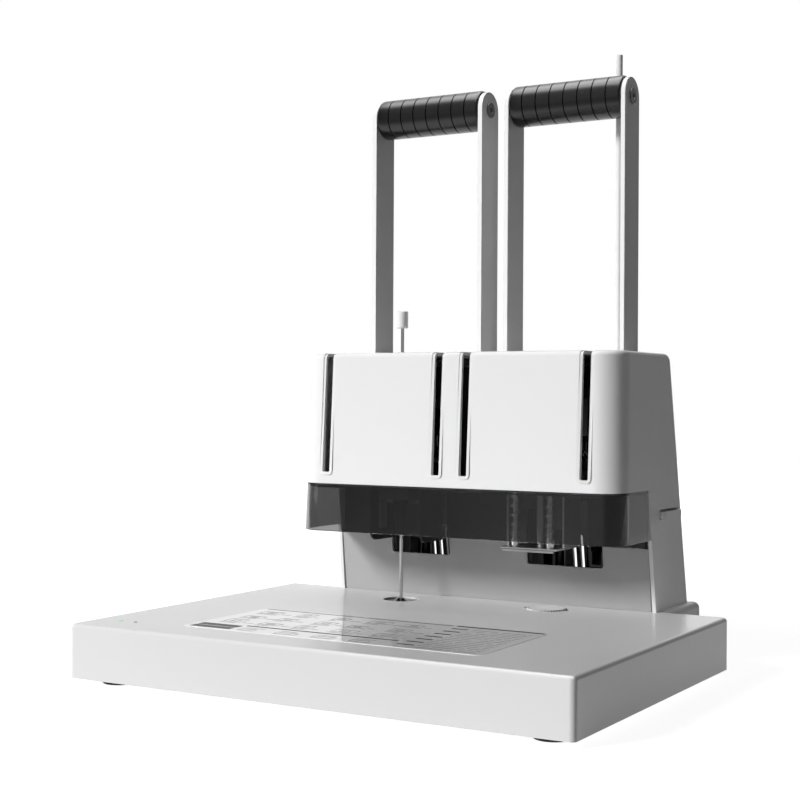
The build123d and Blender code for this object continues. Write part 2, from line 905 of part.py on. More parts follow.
def handle_arms(station_x):
    """two flat arms with round ends"""
    with BuildPart() as arms:
        for side in (-1, 1):
            start = station_x + side * arm_offset - arm_thickness / 2
            with BuildSketch(Plane(origin=(start, pivot_y, pivot_z), x_dir=(0, 1, 0), z_dir=(1, 0, 0))):
                with Locations((0, handle_length / 2)):
                    SlotCenterToCenter(handle_length, arm_width, rotation=90)
                with Locations((0, 0), (0, handle_length)):
                    Circle(end_screw_shank / 2, mode=Mode.SUBTRACT)
            extrude(amount=arm_thickness)
    return arms.part


def handle_bars(station_x):
    """the pivot shaft and the grip's tie rod, tapped at their ends for the end screws"""
    with BuildPart() as bars:
        for z, diameter in ((pivot_z, shaft_diameter), (grip_z, tie_rod_diameter)):
            rod_along_x(station_x - arm_inner, station_x + arm_inner, pivot_y, z, diameter)
            for side in (-1, 1):
                bar_end = Plane(origin=(station_x + side * arm_inner, pivot_y, z), z_dir=(-side, 0, 0))
                with BuildSketch(bar_end):
                    Circle(end_screw_shank / 2)
                extrude(amount=end_screw_grip, mode=Mode.SUBTRACT)
    return bars.part


def end_screws(station_x):
    """four flat-headed screws with hexagon sockets, two at the pivot and two at the grip"""
    with BuildPart() as screws:
        for z in (pivot_z, grip_z):
            for side in (-1, 1):
                seat = Plane(origin=(station_x + side * arm_outer, pivot_y, z), z_dir=(side, 0, 0))
                with BuildSketch(seat):
                    Circle(end_screw_diameter / 2)
                extrude(amount=end_screw_height)
                with BuildSketch(seat):
                    Circle(end_screw_shank / 2)
                extrude(amount=-(arm_thickness + end_screw_grip - panel_gap))
                with BuildSketch(seat.offset(end_screw_height)):
                    RegularPolygon(socket_width / 2, 6, major_radius=False)
                extrude(amount=-socket_depth, mode=Mode.SUBTRACT)
    return screws.part


def grip(station_x):
    """a grip turned with ring grooves, free to roll on its tie rod"""
    length = 2 * (arm_inner - grip_end_gap)
    start = station_x - length / 2
    radius = grip_diameter / 2
    segment = length / grip_segments
    outline = [(start, grip_z + radius - groove_depth), (start + groove_width, grip_z + radius)]
    for k in range(1, grip_segments):
        x = start + k * segment
        outline += [
            (x - groove_width, grip_z + radius),
            (x, grip_z + radius - groove_depth),
            (x + groove_width, grip_z + radius),
        ]
    outline += [
        (start + length - groove_width, grip_z + radius),
        (start + length, grip_z + radius - groove_depth),
        (start + length, grip_z + tie_rod_diameter / 2 + running_clearance),
        (start, grip_z + tie_rod_diameter / 2 + running_clearance),
    ]
    with BuildPart() as handle_grip:
        with BuildSketch(Plane.XZ.offset(-pivot_y)):
            with BuildLine():
                Polyline(*outline, close=True)
            make_face()
        revolve(axis=Axis((0, pivot_y, grip_z), (1, 0, 0)))
    return handle_grip.part


# ---- sector gear and rack --------------------------------------------------------------

tooth_pitch = pi * gear_module
base_radius = pitch_radius * cos(radians(pressure_angle))


def involute(angle):
    """the involute function of an angle in radians"""
    return tan(angle) - angle


def tooth_half_angle(radius):
    """half the angle that a gear tooth fills at a radius"""
    at_pitch = pi / (2 * gear_teeth) - gear_backlash / (4 * pitch_radius)
    flank = acos(min(base_radius / radius, 1.0))
    return at_pitch + involute(radians(pressure_angle)) - involute(flank)


def sector_gear(station_x):
    """a gear sector on a hub: the teeth that the swing brings to the rack, and one spare each way"""
    step = 2 * pi / gear_teeth
    first = -ceil(handle_swing / step) - 1
    flank_step = (tip_radius - root_radius) / flank_steps
    flank_radii = [root_radius + k * flank_step for k in range(flank_steps + 1)]
    outline = [(0.0, 0.0)]
    for k in range(1, first - 1, -1):
        centre = pi + k * step
        rising = [(r, centre + tooth_half_angle(max(r, base_radius))) for r in flank_radii]
        falling = [(r, centre - tooth_half_angle(max(r, base_radius))) for r in reversed(flank_radii)]
        outline += [(r * cos(a), r * sin(a)) for r, a in rising + falling]
    centre_plane = Plane(origin=(station_x, pivot_y, pivot_z), x_dir=(0, 1, 0), z_dir=(1, 0, 0))
    with BuildPart() as gear:
        with BuildSketch(centre_plane):
            with BuildLine():
                Polyline(*outline, close=True)
            make_face()
        extrude(amount=gear_width / 2, both=True)
        with BuildSketch(centre_plane):
            Circle(hub_diameter / 2)
        extrude(amount=hub_width / 2, both=True)
        with BuildSketch(centre_plane):
            Circle(shaft_diameter / 2)
        extrude(amount=hub_width, both=True, mode=Mode.SUBTRACT)
        with BuildSketch(centre_plane):
            middle = degrees(pi + (1 + first) / 2 * step)
            web_radius = (hub_diameter / 2 + root_radius) / 2
            with PolarLocations(web_radius, 3, middle - web_hole_step, 2 * web_hole_step):
                Circle(web_hole_diameter / 2)
        extrude(amount=gear_width, both=True, mode=Mode.SUBTRACT)
    return gear.part


def rack(station_x):
    """a rack that meets the gear with a gap between two teeth at rest"""
    below = ceil(rack_run_in / tooth_pitch)
    above = ceil((carriage_travel + rack_run_out) / tooth_pitch)
    top = pivot_z + (above + 1) * tooth_pitch
    slope = tan(radians(pressure_angle))
    tip_half = tooth_pitch / 4 - gear_backlash / 4 - gear_module * slope
    root_half = tooth_pitch / 4 - gear_backlash / 4 + 1.25 * gear_module * slope
    tip_y = rack_pitch_y + gear_module
    outline = [(yoke_plate_rear, yoke_arm_zs[0]), (rack_root_y, yoke_arm_zs[0])]
    for k in range(-below, above + 1):
        z = pivot_z + (k + 0.5) * tooth_pitch
        outline += [(rack_root_y, z - root_half), (tip_y, z - tip_half)]
        outline += [(tip_y, z + tip_half), (rack_root_y, z + root_half)]
    outline += [(rack_root_y, top), (yoke_plate_rear, top)]
    with BuildPart() as bar:
        with BuildSketch(Plane.YZ.offset(station_x)):
            with BuildLine():
                Polyline(*outline, close=True)
            make_face()
        extrude(amount=gear_width / 2, both=True)
    return bar.part


def disc_about_z(x, y, z_low, z_high, diameter, mode=Mode.ADD):
    """a round upright bar between two heights, in the part being built"""
    with Locations((x, y, (z_low + z_high) / 2)):
        Cylinder(diameter / 2, z_high - z_low, mode=mode)


# ---- station frame, guides and yoke ----------------------------------------------------

frame_top = head_top - frame_top_drop
frame_front = chassis_y + chassis_thickness
cheek_outer = cheek_inner + cheek_thickness
rod_y = seam_y + rod_behind
slider_bottom = base_top + slider_bottom_rise
yoke_arm_zs = (base_top + yoke_arm_bottom_rise, base_top + yoke_arm_top_rise)
yoke_plate_rear = yoke_plate_y + yoke_plate_thickness


def station_frame(station_x):
    """a folded steel frame: two cheeks joined by a bottom and a top plate"""
    behind_wall = back_wall_thickness + panel_gap
    in_front_of_cover = housing_wall + frame_rear_gap
    outline = [
        (back_wall_at(base_top) + behind_wall, base_top),
        (back_wall_at(wall_top) + behind_wall, wall_top),
        (frame_front, wall_top + panel_gap),
        (frame_front, frame_top),
        (rear_at(frame_top) - in_front_of_cover, frame_top),
        (rear_at(base_top) - in_front_of_cover, base_top),
    ]
    with BuildPart() as frame:
        with BuildSketch(Plane.YZ.offset(station_x)):
            with BuildLine():
                Polyline(*outline, close=True)
            make_face()
        extrude(amount=cheek_outer, both=True)
        block(
            (station_x - cheek_inner, station_x + cheek_inner),
            (chassis_y, rear_at(base_top)),
            (base_top + frame_plate, frame_top - frame_plate),
            Mode.SUBTRACT,
        )
        with BuildSketch(Plane(origin=(station_x, pivot_y, pivot_z), x_dir=(0, 1, 0), z_dir=(1, 0, 0))):
            Circle(bush_diameter / 2)
        extrude(amount=2 * cheek_outer, both=True, mode=Mode.SUBTRACT)
        # lightening windows low in the cheeks
        with BuildSketch(Plane(origin=(station_x, 0, 0), x_dir=(0, 1, 0), z_dir=(1, 0, 0))):
            with Locations((rod_y, base_top + cheek_hole_rise)):
                SlotCenterToCenter(cheek_hole_length, cheek_hole_width, rotation=90)
        extrude(amount=2 * cheek_outer, both=True, mode=Mode.SUBTRACT)
    return frame.part


with BuildPart() as pivot_bushes:
    for station_x in stations:
        for side in (-1, 1):
            seat = Plane(origin=(station_x + side * cheek_outer, pivot_y, pivot_z), z_dir=(side, 0, 0))
            with BuildSketch(seat):
                Circle(bush_diameter / 2)
            extrude(amount=-cheek_thickness)
            with BuildSketch(seat):
                Circle(bush_diameter / 2 + bush_flange)
            extrude(amount=bush_flange)
            with BuildSketch(seat.offset(bush_flange)):
                Circle(shaft_diameter / 2 + running_clearance)
            extrude(amount=-(cheek_thickness + bush_flange), mode=Mode.SUBTRACT)

with BuildPart() as guide_rods:
    for station_x in stations:
        for side in (-1, 1):
            disc_about_z(
                station_x + side * rod_half_spacing,
                rod_y,
                base_top + frame_plate,
                frame_top - frame_plate,
                rod_diameter,
            )


def yoke(station_x, plate_half_width, plate_top, lips):
    """the cast slider: a block on the rods, two arms forward past the gear, and a front plate"""
    with BuildPart() as casting:
        block(
            (station_x - slider_half_width, station_x + slider_half_width),
            (rod_y - slider_depth / 2, rod_y + slider_depth / 2),
            (slider_bottom, slider_bottom + slider_height),
        )
        for side in (-1, 1):
            block(
                sorted((station_x + side * yoke_arm_inner, station_x + side * yoke_arm_outer)),
                (yoke_plate_y, rod_y - slider_depth / 2),
                yoke_arm_zs,
            )
        block(
            (station_x - plate_half_width, station_x + plate_half_width),
            (yoke_plate_y, yoke_plate_rear),
            (base_top + yoke_plate_bottom_rise, plate_top),
        )
        if lips:
            for side in (-1, 1):
                outer = station_x + side * (plate_half_width - yoke_lip_inset)
                block(
                    sorted((outer, outer - side * yoke_lip_thickness)),
                    (yoke_plate_y - yoke_lip_depth, yoke_plate_y),
                    (base_top + yoke_lip_bottom_rise, base_top + yoke_plate_top_rise),
                )
        for side in (-1, 1):
            disc_about_z(
                station_x + side * rod_half_spacing,
                rod_y,
                slider_bottom,
                slider_bottom + slider_height,
                rod_diameter + 2 * running_clearance,
                Mode.SUBTRACT,
            )
    return casting.part


def return_spring(station_x):
    """a torsion spring round the pivot shaft, with a straight leg at each end"""
    pitch = (return_span[1] - return_span[0]) / return_turns
    marks = coil(return_radius, pitch, return_turns, -90)
    with BuildPart() as spring:
        with BuildLine() as path:
            Line(marks[0][0] - marks[0][1] * return_leg, marks[0][0])
            for (p0, t0), (p1, t1) in zip(marks, marks[1:]):
                joint = biarc_joint(p0, t0, p1, t1)
                first_arc = TangentArc(p0, joint, tangent=t0)
                TangentArc(joint, p1, tangent=first_arc % 1)
            Line(marks[-1][0], marks[-1][0] + marks[-1][1] * return_leg)
        with BuildSketch(Plane(origin=marks[0][0] - marks[0][1] * return_leg, z_dir=marks[0][1])):
            Circle(return_wire / 2)
        sweep(path=path.wires()[0])
    return Pos(station_x + return_span[0], pivot_y, pivot_z) * Rot(0, 90, 0) * spring.part


with BuildPart() as return_springs:
    for station_x in stations:
        add(return_spring(station_x))


# ---- riveting carriage -----------------------------------------------------------------

rivet_x, drill_x = stations
heater_bottom = base_top + heater_bottom_rise
needle_bottom = base_top - needle_bottom_drop
needle_top = head_top + needle_knob_lift
lower_bracket_zs = (base_top + bracket_bottom_rise, base_top + yoke_plate_top_rise)
bracket_ys = (seam_y - bracket_front_ahead, seam_y - bracket_rear_ahead)

with BuildPart() as rivet_bracket:
    for side in (-1, 1):
        inner = rivet_x + side * (bracket_half_width - bracket_thickness)
        with BuildSketch(Plane.YZ.offset(inner)) as cheek:
            with Locations((sum(bracket_ys) / 2, sum(lower_bracket_zs) / 2)):
                Rectangle(bracket_ys[1] - bracket_ys[0], lower_bracket_zs[1] - lower_bracket_zs[0])
            fillet(cheek.vertices().group_by(Axis.Z)[0].sort_by(Axis.Y)[0], bracket_corner)
        extrude(amount=side * bracket_thickness)
    block(
        (rivet_x - bracket_half_width, rivet_x + bracket_half_width),
        (bracket_ys[1] - bracket_thickness, bracket_ys[1]),
        (base_top + bracket_bottom_rise + bracket_corner / 2, base_top + yoke_plate_bottom_rise - panel_gap),
    )

with BuildPart() as insulator:
    block(
        (rivet_x - heater_width / 2, rivet_x + heater_width / 2),
        (yoke_plate_y - insulator_thickness, yoke_plate_y),
        (heater_bottom, heater_bottom + heater_height),
    )

with BuildPart() as heater_block:
    block(
        (rivet_x - heater_width / 2, rivet_x + heater_width / 2),
        (axis_y - (yoke_plate_y - insulator_thickness - axis_y), yoke_plate_y - insulator_thickness),
        (heater_bottom, heater_bottom + heater_height),
    )
    disc_about_z(rivet_x, axis_y, heater_bottom, heater_bottom + heater_height, die_bore, Mode.SUBTRACT)
    # the cartridge heaters' bores, one each side of the die
    with BuildSketch(Plane.XZ.offset(-(yoke_plate_y - insulator_thickness))):
        with Locations(
            (rivet_x - cartridge_offset, heater_bottom + heater_height / 2),
            (rivet_x + cartridge_offset, heater_bottom + heater_height / 2),
        ):
            Circle(cartridge_diameter / 2)
    extrude(amount=heater_width, mode=Mode.SUBTRACT)

with BuildPart() as upper_die:
    die_tip = base_top + die_tip_rise
    with BuildSketch(Plane.XZ.offset(-axis_y)):
        with BuildLine():
            Polyline(
                (rivet_x + die_bore / 2, die_tip),
                (rivet_x + lower_die_top_diameter / 2, die_tip),
                (rivet_x + die_nose_diameter / 2, die_tip + die_nose_diameter),
                (rivet_x + die_nose_diameter / 2, heater_bottom - die_flange_height),
                (rivet_x + die_flange_diameter / 2, heater_bottom - die_flange_height),
                (rivet_x + die_flange_diameter / 2, heater_bottom),
                (rivet_x + die_bore / 2, heater_bottom),
                close=True,
            )
        make_face()
    revolve(axis=Axis((rivet_x, axis_y, 0), (0, 0, 1)))

with BuildPart() as needle_rod:
    disc_about_z(rivet_x, axis_y, needle_bottom, needle_top, needle_diameter)
    chamfer(needle_rod.faces().sort_by(Axis.Z)[0].edges(), needle_diameter / 4)

with BuildPart() as needle_knob:
    disc_about_z(rivet_x, axis_y, needle_top, needle_top + needle_knob_height, needle_knob_diameter)
    fillet(needle_knob.faces().filter_by(GeomType.PLANE).edges(), needle_knob_round)

with BuildPart() as needle_bush:
    disc_about_z(rivet_x, axis_y, head_top - bush_barrel_length, head_top, bush_barrel_diameter)
    disc_about_z(rivet_x, axis_y, head_top, head_top + bush_flange_height, bush_flange_diameter)
    disc_about_z(
        rivet_x,
        axis_y,
        head_top - bush_barrel_length,
        head_top + bush_flange_height,
        needle_diameter + 2 * needle_clearance,
        Mode.SUBTRACT,
    )

# ---- drilling carriage -----------------------------------------------------------------

spindle_bottom = base_top + spindle_housing_rise
spindle_top = spindle_bottom + spindle_housing_height
motor_top = head_top - motor_top_drop
housing_front_y = yoke_plate_y - 2 * (yoke_plate_y - axis_y)
ledge_zs = (spindle_bottom + spindle_ledge_lift, spindle_bottom + spindle_ledge_lift + spindle_ledge_height)
foot_ys = (seam_y - foot_front_ahead, seam_y - foot_rear_ahead)
foot_bottom = base_top + foot_bottom_rise
foot_plate_top = foot_bottom + foot_sheet
presser_y = seam_y - presser_rod_ahead
presser_xs = (drill_x - presser_rod_half_spacing, drill_x + presser_rod_half_spacing)
chuck_top = spindle_bottom - chuck_gap
chuck_bottom = chuck_top - chuck_height
drill_tip = base_top + drill_tip_rise

with BuildPart() as spindle_housing:
    block(
        (drill_x - spindle_housing_half_width, drill_x + spindle_housing_half_width),
        (housing_front_y, yoke_plate_y),
        (spindle_bottom, spindle_top),
    )
    block(
        (drill_x - spindle_housing_half_width, drill_x + spindle_housing_half_width),
        (axis_y - spindle_ledge_reach, housing_front_y),
        ledge_zs,
    )
    disc_about_z(drill_x, axis_y, spindle_bottom, spindle_top, bearing_diameter, Mode.SUBTRACT)
    for x in presser_xs:
        disc_about_z(x, presser_y, *ledge_zs, presser_rod_diameter + 2 * running_clearance, Mode.SUBTRACT)

with BuildPart() as spindle_bearings:
    for z in (spindle_bottom, spindle_top - bearing_height):
        disc_about_z(drill_x, axis_y, z, z + bearing_height, bearing_diameter)
        disc_about_z(
            drill_x, axis_y, z, z + bearing_height, spindle_diameter + 2 * running_clearance, Mode.SUBTRACT
        )

with BuildPart() as drill_motor:
    disc_about_z(drill_x, axis_y, spindle_top, motor_top, motor_diameter)
    fillet(drill_motor.faces().sort_by(Axis.Z)[-1].edges(), motor_round)
    disc_about_z(
        drill_x,
        axis_y,
        spindle_top,
        spindle_top + motor_collar,
        spindle_diameter + 2 * chuck_gap,
        Mode.SUBTRACT,
    )
    disc_about_z(drill_x, axis_y, motor_top, motor_top + motor_cap_height, motor_collar)

with BuildPart() as drill_chuck:
    disc_about_z(drill_x, axis_y, chuck_bottom, chuck_top, chuck_diameter)
    chamfer(drill_chuck.faces().group_by(Axis.Z)[0].edges(), chuck_chamfer)
    disc_about_z(drill_x, axis_y, chuck_top, spindle_top + motor_collar - chuck_gap, spindle_diameter)
    disc_about_z(drill_x, axis_y, chuck_bottom, chuck_top - chuck_gap, drill_diameter, Mode.SUBTRACT)
    # the side hole that lets the chips out
    with Locations((drill_x, axis_y, chuck_top - chip_hole_diameter / 2 - chuck_gap)):
        Cylinder(chip_hole_diameter / 2, 2 * chuck_diameter, rotation=(0, 90, 0), mode=Mode.SUBTRACT)

with BuildPart() as hollow_drill:
    with BuildSketch(Plane.XZ.offset(-axis_y)):
        with BuildLine():
            Polyline(
                (drill_x + drill_bore / 2, drill_tip),
                (drill_x + drill_diameter / 2, drill_tip + (drill_diameter - drill_bore)),
                (drill_x + drill_diameter / 2, chuck_bottom + drill_seat_depth),
                (drill_x + drill_bore / 2, chuck_bottom + drill_seat_depth),
                close=True,
            )
        make_face()
    revolve(axis=Axis((drill_x, axis_y, 0), (0, 0, 1)))

with BuildPart() as presser_foot:
    with BuildSketch(Plane.XY.offset(foot_bottom)) as sole:
        with Locations((drill_x, sum(foot_ys) / 2)):
            Rectangle(2 * foot_half_width, foot_ys[1] - foot_ys[0])
        fillet(sole.vertices().group_by(Axis.Y)[0], foot_bend)
        with Locations((drill_x, axis_y)):
            Circle(foot_hole / 2, mode=Mode.SUBTRACT)
    extrude(amount=foot_sheet)
    for side in (-1, 1):
        block(
            sorted((drill_x + side * foot_half_width, drill_x + side * (foot_half_width - foot_sheet))),
            (bracket_ys[0], seam_y - foot_flange_ahead),
            (foot_bottom, base_top + foot_flange_rise),
        )
    lower_edges = presser_foot.edges().filter_by(Axis.Y).group_by(Axis.Z)[0]
    fillet([edge for edge in lower_edges if edge.length > foot_half_width], foot_edge_round)
    # the front lip, bent down so that paper slides in under it
    with BuildSketch(Plane.XY.offset(foot_bottom)):
        with Locations((drill_x, foot_ys[0] + foot_sheet / 2)):
            Rectangle(2 * (foot_half_width - foot_bend), foot_sheet)
    extrude(amount=-foot_lip_drop)

with BuildPart() as presser_rods:
    for x in presser_xs:
        disc_about_z(x, presser_y, foot_plate_top, ledge_zs[1], presser_rod_diameter)
        disc_about_z(x, presser_y, foot_plate_top, foot_plate_top + presser_nut_height, presser_nut_diameter)
        disc_about_z(
            x,
            presser_y,
            ledge_zs[1] + panel_gap / 2,
            ledge_zs[1] + panel_gap / 2 + presser_head_height,
            presser_head_diameter,
        )
        disc_about_z(x, presser_y, ledge_zs[1], ledge_zs[1] + panel_gap, presser_rod_diameter)

spring_low = foot_plate_top + presser_nut_height + presser_wire / 2 + spring_gap
spring_high = ledge_zs[0] - presser_wire / 2 - spring_gap
presser_turns = round((spring_high - spring_low) / presser_coil_pitch)
one_presser_spring = coil_spring(
    presser_coil_radius, (spring_high - spring_low) / presser_turns, presser_turns, presser_wire
)

with BuildPart() as presser_springs:
    for x in presser_xs:
        add(Pos(x, presser_y, spring_low) * one_presser_spring)

presser_gap = (spring_high - spring_low) / presser_turns - presser_wire
return_gap = (return_span[1] - return_span[0]) / return_turns - return_wire
print("presser spring, least gap to itself:", round(presser_gap, 2))
print("return spring, least gap to itself:", round(return_gap, 2))

# ---- rivet tube, its guide, cutter and outlet ------------------------------------------

frame_side_x = drill_x + cheek_outer
tube_bottom = base_top + tube_bottom_rise
guide_zs = (base_top + guide_bottom_rise, head_top - guide_top_drop)
bracket_zs = (base_top + cutter_bracket_rise, base_top + cutter_bracket_rise + cutter_bracket_thickness)
lever_zs = (base_top + lever_rise, base_top + lever_rise + lever_thickness)
cutter_pivot_y = seam_y + cutter_pivot_behind

with BuildPart() as rivet_tube:
    disc_about_z(tube_x, tube_y, tube_bottom, base_top + tube_top_rise, tube_diameter)
    disc_about_z(tube_x, tube_y, tube_bottom, base_top + tube_top_rise, tube_bore, Mode.SUBTRACT)

with BuildPart() as tube_guide:
    disc_about_z(tube_x, tube_y, *guide_zs, guide_diameter)
    for z in (guide_zs[0] + guide_ear_height, guide_zs[1] - guide_ear_height):
        block(
            (frame_side_x, tube_x),
            (tube_y - guide_ear_height / 2, tube_y - guide_bore / 2 + guide_ear_overlap),
            (z - guide_ear_height / 2, z + guide_ear_height / 2),
        )
    disc_about_z(tube_x, tube_y, *guide_zs, guide_bore, Mode.SUBTRACT)

with BuildPart() as cutter_bracket:
    block(
        (frame_side_x, cutter_pivot_x + cutter_pin_diameter),
        (tube_y - bracket_margin, cutter_pivot_y + cutter_pin_diameter),
        bracket_zs,
    )
    block(
        (frame_side_x, frame_side_x + cheek_thickness),
        (tube_y - bracket_margin, cutter_pivot_y + cutter_pin_diameter),
        (bracket_zs[0] - bracket_flange_drop, bracket_zs[0]),
    )
    disc_about_z(tube_x + bracket_hole_shift, tube_y, *bracket_zs, guide_diameter, Mode.SUBTRACT)
    pin_top = lever_zs[1] + cutter_pin_proud
    disc_about_z(cutter_pivot_x, cutter_pivot_y, bracket_zs[0], pin_top, cutter_pin_diameter)

tab_outer_x = half_width_at(lever_zs[0]) + lever_tab_proud
neck_x = (cutter_pivot_x + tab_outer_x) / 2 - lever_tab_proud
tab_ys = (seam_y + lever_tab_behind, seam_y + lever_tab_behind + lever_tab_length)
blade_zs = (lever_zs[0] + lever_arm_thickness, lever_zs[0] + lever_arm_thickness + blade_thickness)

with BuildPart() as cutter_lever:
    with BuildSketch(Plane.XY.offset(lever_zs[0])) as tab:
        with Locations(((cutter_pivot_x + cutter_pin_diameter + tab_outer_x) / 2, sum(tab_ys) / 2)):
            Rectangle(tab_outer_x - cutter_pivot_x - cutter_pin_diameter, tab_ys[1] - tab_ys[0])
        fillet(tab.vertices().group_by(Axis.X)[-1], lever_tab_corner)
        with Locations((cutter_pivot_x, cutter_pivot_y)):
            Circle(cutter_pin_diameter)
        with Locations((neck_x, cutter_pivot_y - cutter_pin_diameter / 2)):
            Rectangle(tab_outer_x - cutter_pivot_x - lever_tab_proud, cutter_pin_diameter)
    extrude(amount=lever_thickness)
    block(
        (blade_seat_x, cutter_pivot_x),
        (cutter_pivot_y - cutter_pin_diameter, cutter_pivot_y),
        (lever_zs[0], lever_zs[0] + lever_arm_thickness),
    )
    disc_about_z(
        cutter_pivot_x, cutter_pivot_y, *lever_zs, cutter_pin_diameter + 2 * running_clearance, Mode.SUBTRACT
    )

with BuildPart() as cutter_blade:
    edge_y = tube_y + tube_diameter / 2 + blade_gap
    with BuildSketch(Plane.XY.offset(blade_zs[0])):
        with BuildLine():
            Polyline(
                (frame_side_x + blade_tip_gap, edge_y),
                (blade_seat_x, edge_y),
                (blade_seat_x + blade_seat_length, cutter_pivot_y - cutter_pin_diameter),
                (blade_seat_x + blade_seat_length, cutter_pivot_y),
                (frame_side_x + blade_tip_gap, cutter_pivot_y - blade_back_taper),
                close=True,
            )
        make_face()
    extrude(amount=blade_thickness)

chute_xs = (frame_side_x, frame_side_x + chute_width)
chute_rear = tube_y + guide_diameter
chute_front = frame_front + panel_gap
chute_drop = (chute_rear - chute_front) * tan(radians(chute_slope))
chute_low = base_top + window_bottom_rises[1] + chute_lift
chute_line = [
    (chute_front, chute_low),
    (chute_rear, chute_low + chute_drop),
    (chute_rear, chute_low + chute_drop + chute_depth),
    (chute_front, chute_low + chute_depth),
]

with BuildPart() as tube_chute:
    with BuildSketch(Plane.YZ.offset(chute_xs[0])):
        with BuildLine():
            Polyline(*chute_line, close=True)
        make_face()
    extrude(amount=chute_width)
    with BuildSketch(Plane.YZ.offset(chute_xs[0] + chute_wall)):
        with BuildLine():
            Polyline(
                (chute_front - overrun, chute_line[0][1] + chute_wall),
                (chute_rear - chute_wall, chute_line[1][1] + chute_wall),
                (chute_rear - chute_wall, chute_line[2][1] + overrun),
                (chute_front - overrun, chute_line[3][1] + overrun),
                close=True,
            )
        make_face()
    extrude(amount=chute_width - 2 * chute_wall, mode=Mode.SUBTRACT)

# ---- rear fittings, power unit and screws ----------------------------------------------

inlet_plane = rear_plane(inlet_x, base_top + inlet_rise)
switch_plane = rear_plane(switch_x, base_top + inlet_rise)

with BuildPart() as power_inlet:
    with BuildSketch(inlet_plane):
        Rectangle(inlet_width + 2 * inlet_flange, inlet_height + 2 * inlet_flange)
    extrude(amount=inlet_flange_thickness)
    with BuildSketch(inlet_plane):
        Rectangle(inlet_width - fitting_gap, inlet_height - fitting_gap)
    extrude(amount=-inlet_depth)
    with BuildSketch(inlet_plane.offset(inlet_flange_thickness)) as socket:
        Rectangle(inlet_width - 2 * inlet_flange, inlet_height - 2 * inlet_flange)
        chamfer(socket.vertices().group_by(Axis.Y)[-1], inlet_flange)
    extrude(amount=-(inlet_depth - inlet_flange), mode=Mode.SUBTRACT)
    with BuildSketch(inlet_plane.offset(-inlet_depth + 2 * inlet_flange_thickness)):
        with Locations((-pin_spacing, -pin_lift), (0, pin_lift), (pin_spacing, -pin_lift)):
            Rectangle(pin_width, pin_height)
    extrude(amount=inlet_depth - 2 * inlet_flange_thickness - 2 * inlet_flange)

with BuildPart() as switch_bezel:
    with BuildSketch(switch_plane):
        Rectangle(switch_width + inlet_flange, switch_height + inlet_flange)
    extrude(amount=inlet_flange_thickness)
    with BuildSketch(switch_plane):
        Rectangle(switch_width - fitting_gap, switch_height - fitting_gap)
    extrude(amount=-inlet_depth)
    with BuildSketch(switch_plane.offset(inlet_flange_thickness)):
        Rectangle(switch_width - inlet_flange, switch_height - inlet_flange)
    extrude(amount=-rocker_well, mode=Mode.SUBTRACT)

# the rocker: two flats that meet at a shallow angle over its pivot, tipped to its off side
rocker_width = switch_width - inlet_flange - 2 * fitting_gap
rocker_half = (switch_height - inlet_flange) / 2 - rocker_end_gap
slope_up = Vector(0, -rear_lean, 1).normalized().rotate(Axis.X, rocker_tilt)

with BuildPart() as power_rocker:
    rocker_side = switch_plane.origin - Vector(rocker_width / 2, 0, 0)
    with BuildSketch(Plane(origin=rocker_side, x_dir=slope_up, z_dir=(1, 0, 0))):
        with BuildLine():
            Polyline(
                (-rocker_half, -rocker_body),
                (-rocker_half, rocker_rise),
                (0, 0),
                (rocker_half, rocker_rise),
                (rocker_half, -rocker_body),
                (0, -2 * rocker_body),
                close=True,
            )
        make_face()
    extrude(amount=rocker_width)

with BuildPart() as control_board:
    board_z = base_bottom + plate_thickness + board_standoff
    board_y = seam_y + plinth_depth / 2
    block(
        (-board_width / 2, board_width / 2),
        (board_y - board_depth / 2, board_y + board_depth / 2),
        (board_z, board_z + board_thickness),
    )
    for side_x in (-1, 1):
        for side_y in (-1, 1):
            disc_about_z(
                side_x * (board_width / 2 - board_standoff),
                board_y + side_y * (board_depth / 2 - board_standoff),
                base_bottom + plate_thickness,
                board_z,
                board_standoff,
            )
    block(
        (-board_width / 4 - transformer_size[0] / 2, -board_width / 4 + transformer_size[0] / 2),
        (board_y - transformer_size[1] / 2, board_y + transformer_size[1] / 2),
        (board_z, board_z + transformer_size[2]),
    )
    for k in (0, 1):
        disc_about_z(
            board_width / 8 + k * capacitor_pitch,
            board_y,
            board_z,
            board_z + capacitor_height,
            capacitor_diameter,
        )

with BuildPart() as cover_screws:
    for side in (-1, 1):
        for rise in cover_screw_rises:
            seat = rear_plane(side * cover_screw_x, base_top + rise)
            with BuildSketch(seat):
                Circle(screw_head_diameter / 2)
            extrude(amount=screw_head_height)
    with BuildSketch(Plane.XY.offset(base_bottom)):
        with Locations(*screw_places):
            Circle(screw_head_diameter / 2)
    extrude(amount=-screw_head_height)
    with BuildSketch(Plane.XY.offset(base_bottom)):
        with Locations(*screw_places):
            Circle(screw_shank_diameter / 2)
    extrude(amount=screw_length)

# ---- the set of pieces -----------------------------------------------------------------

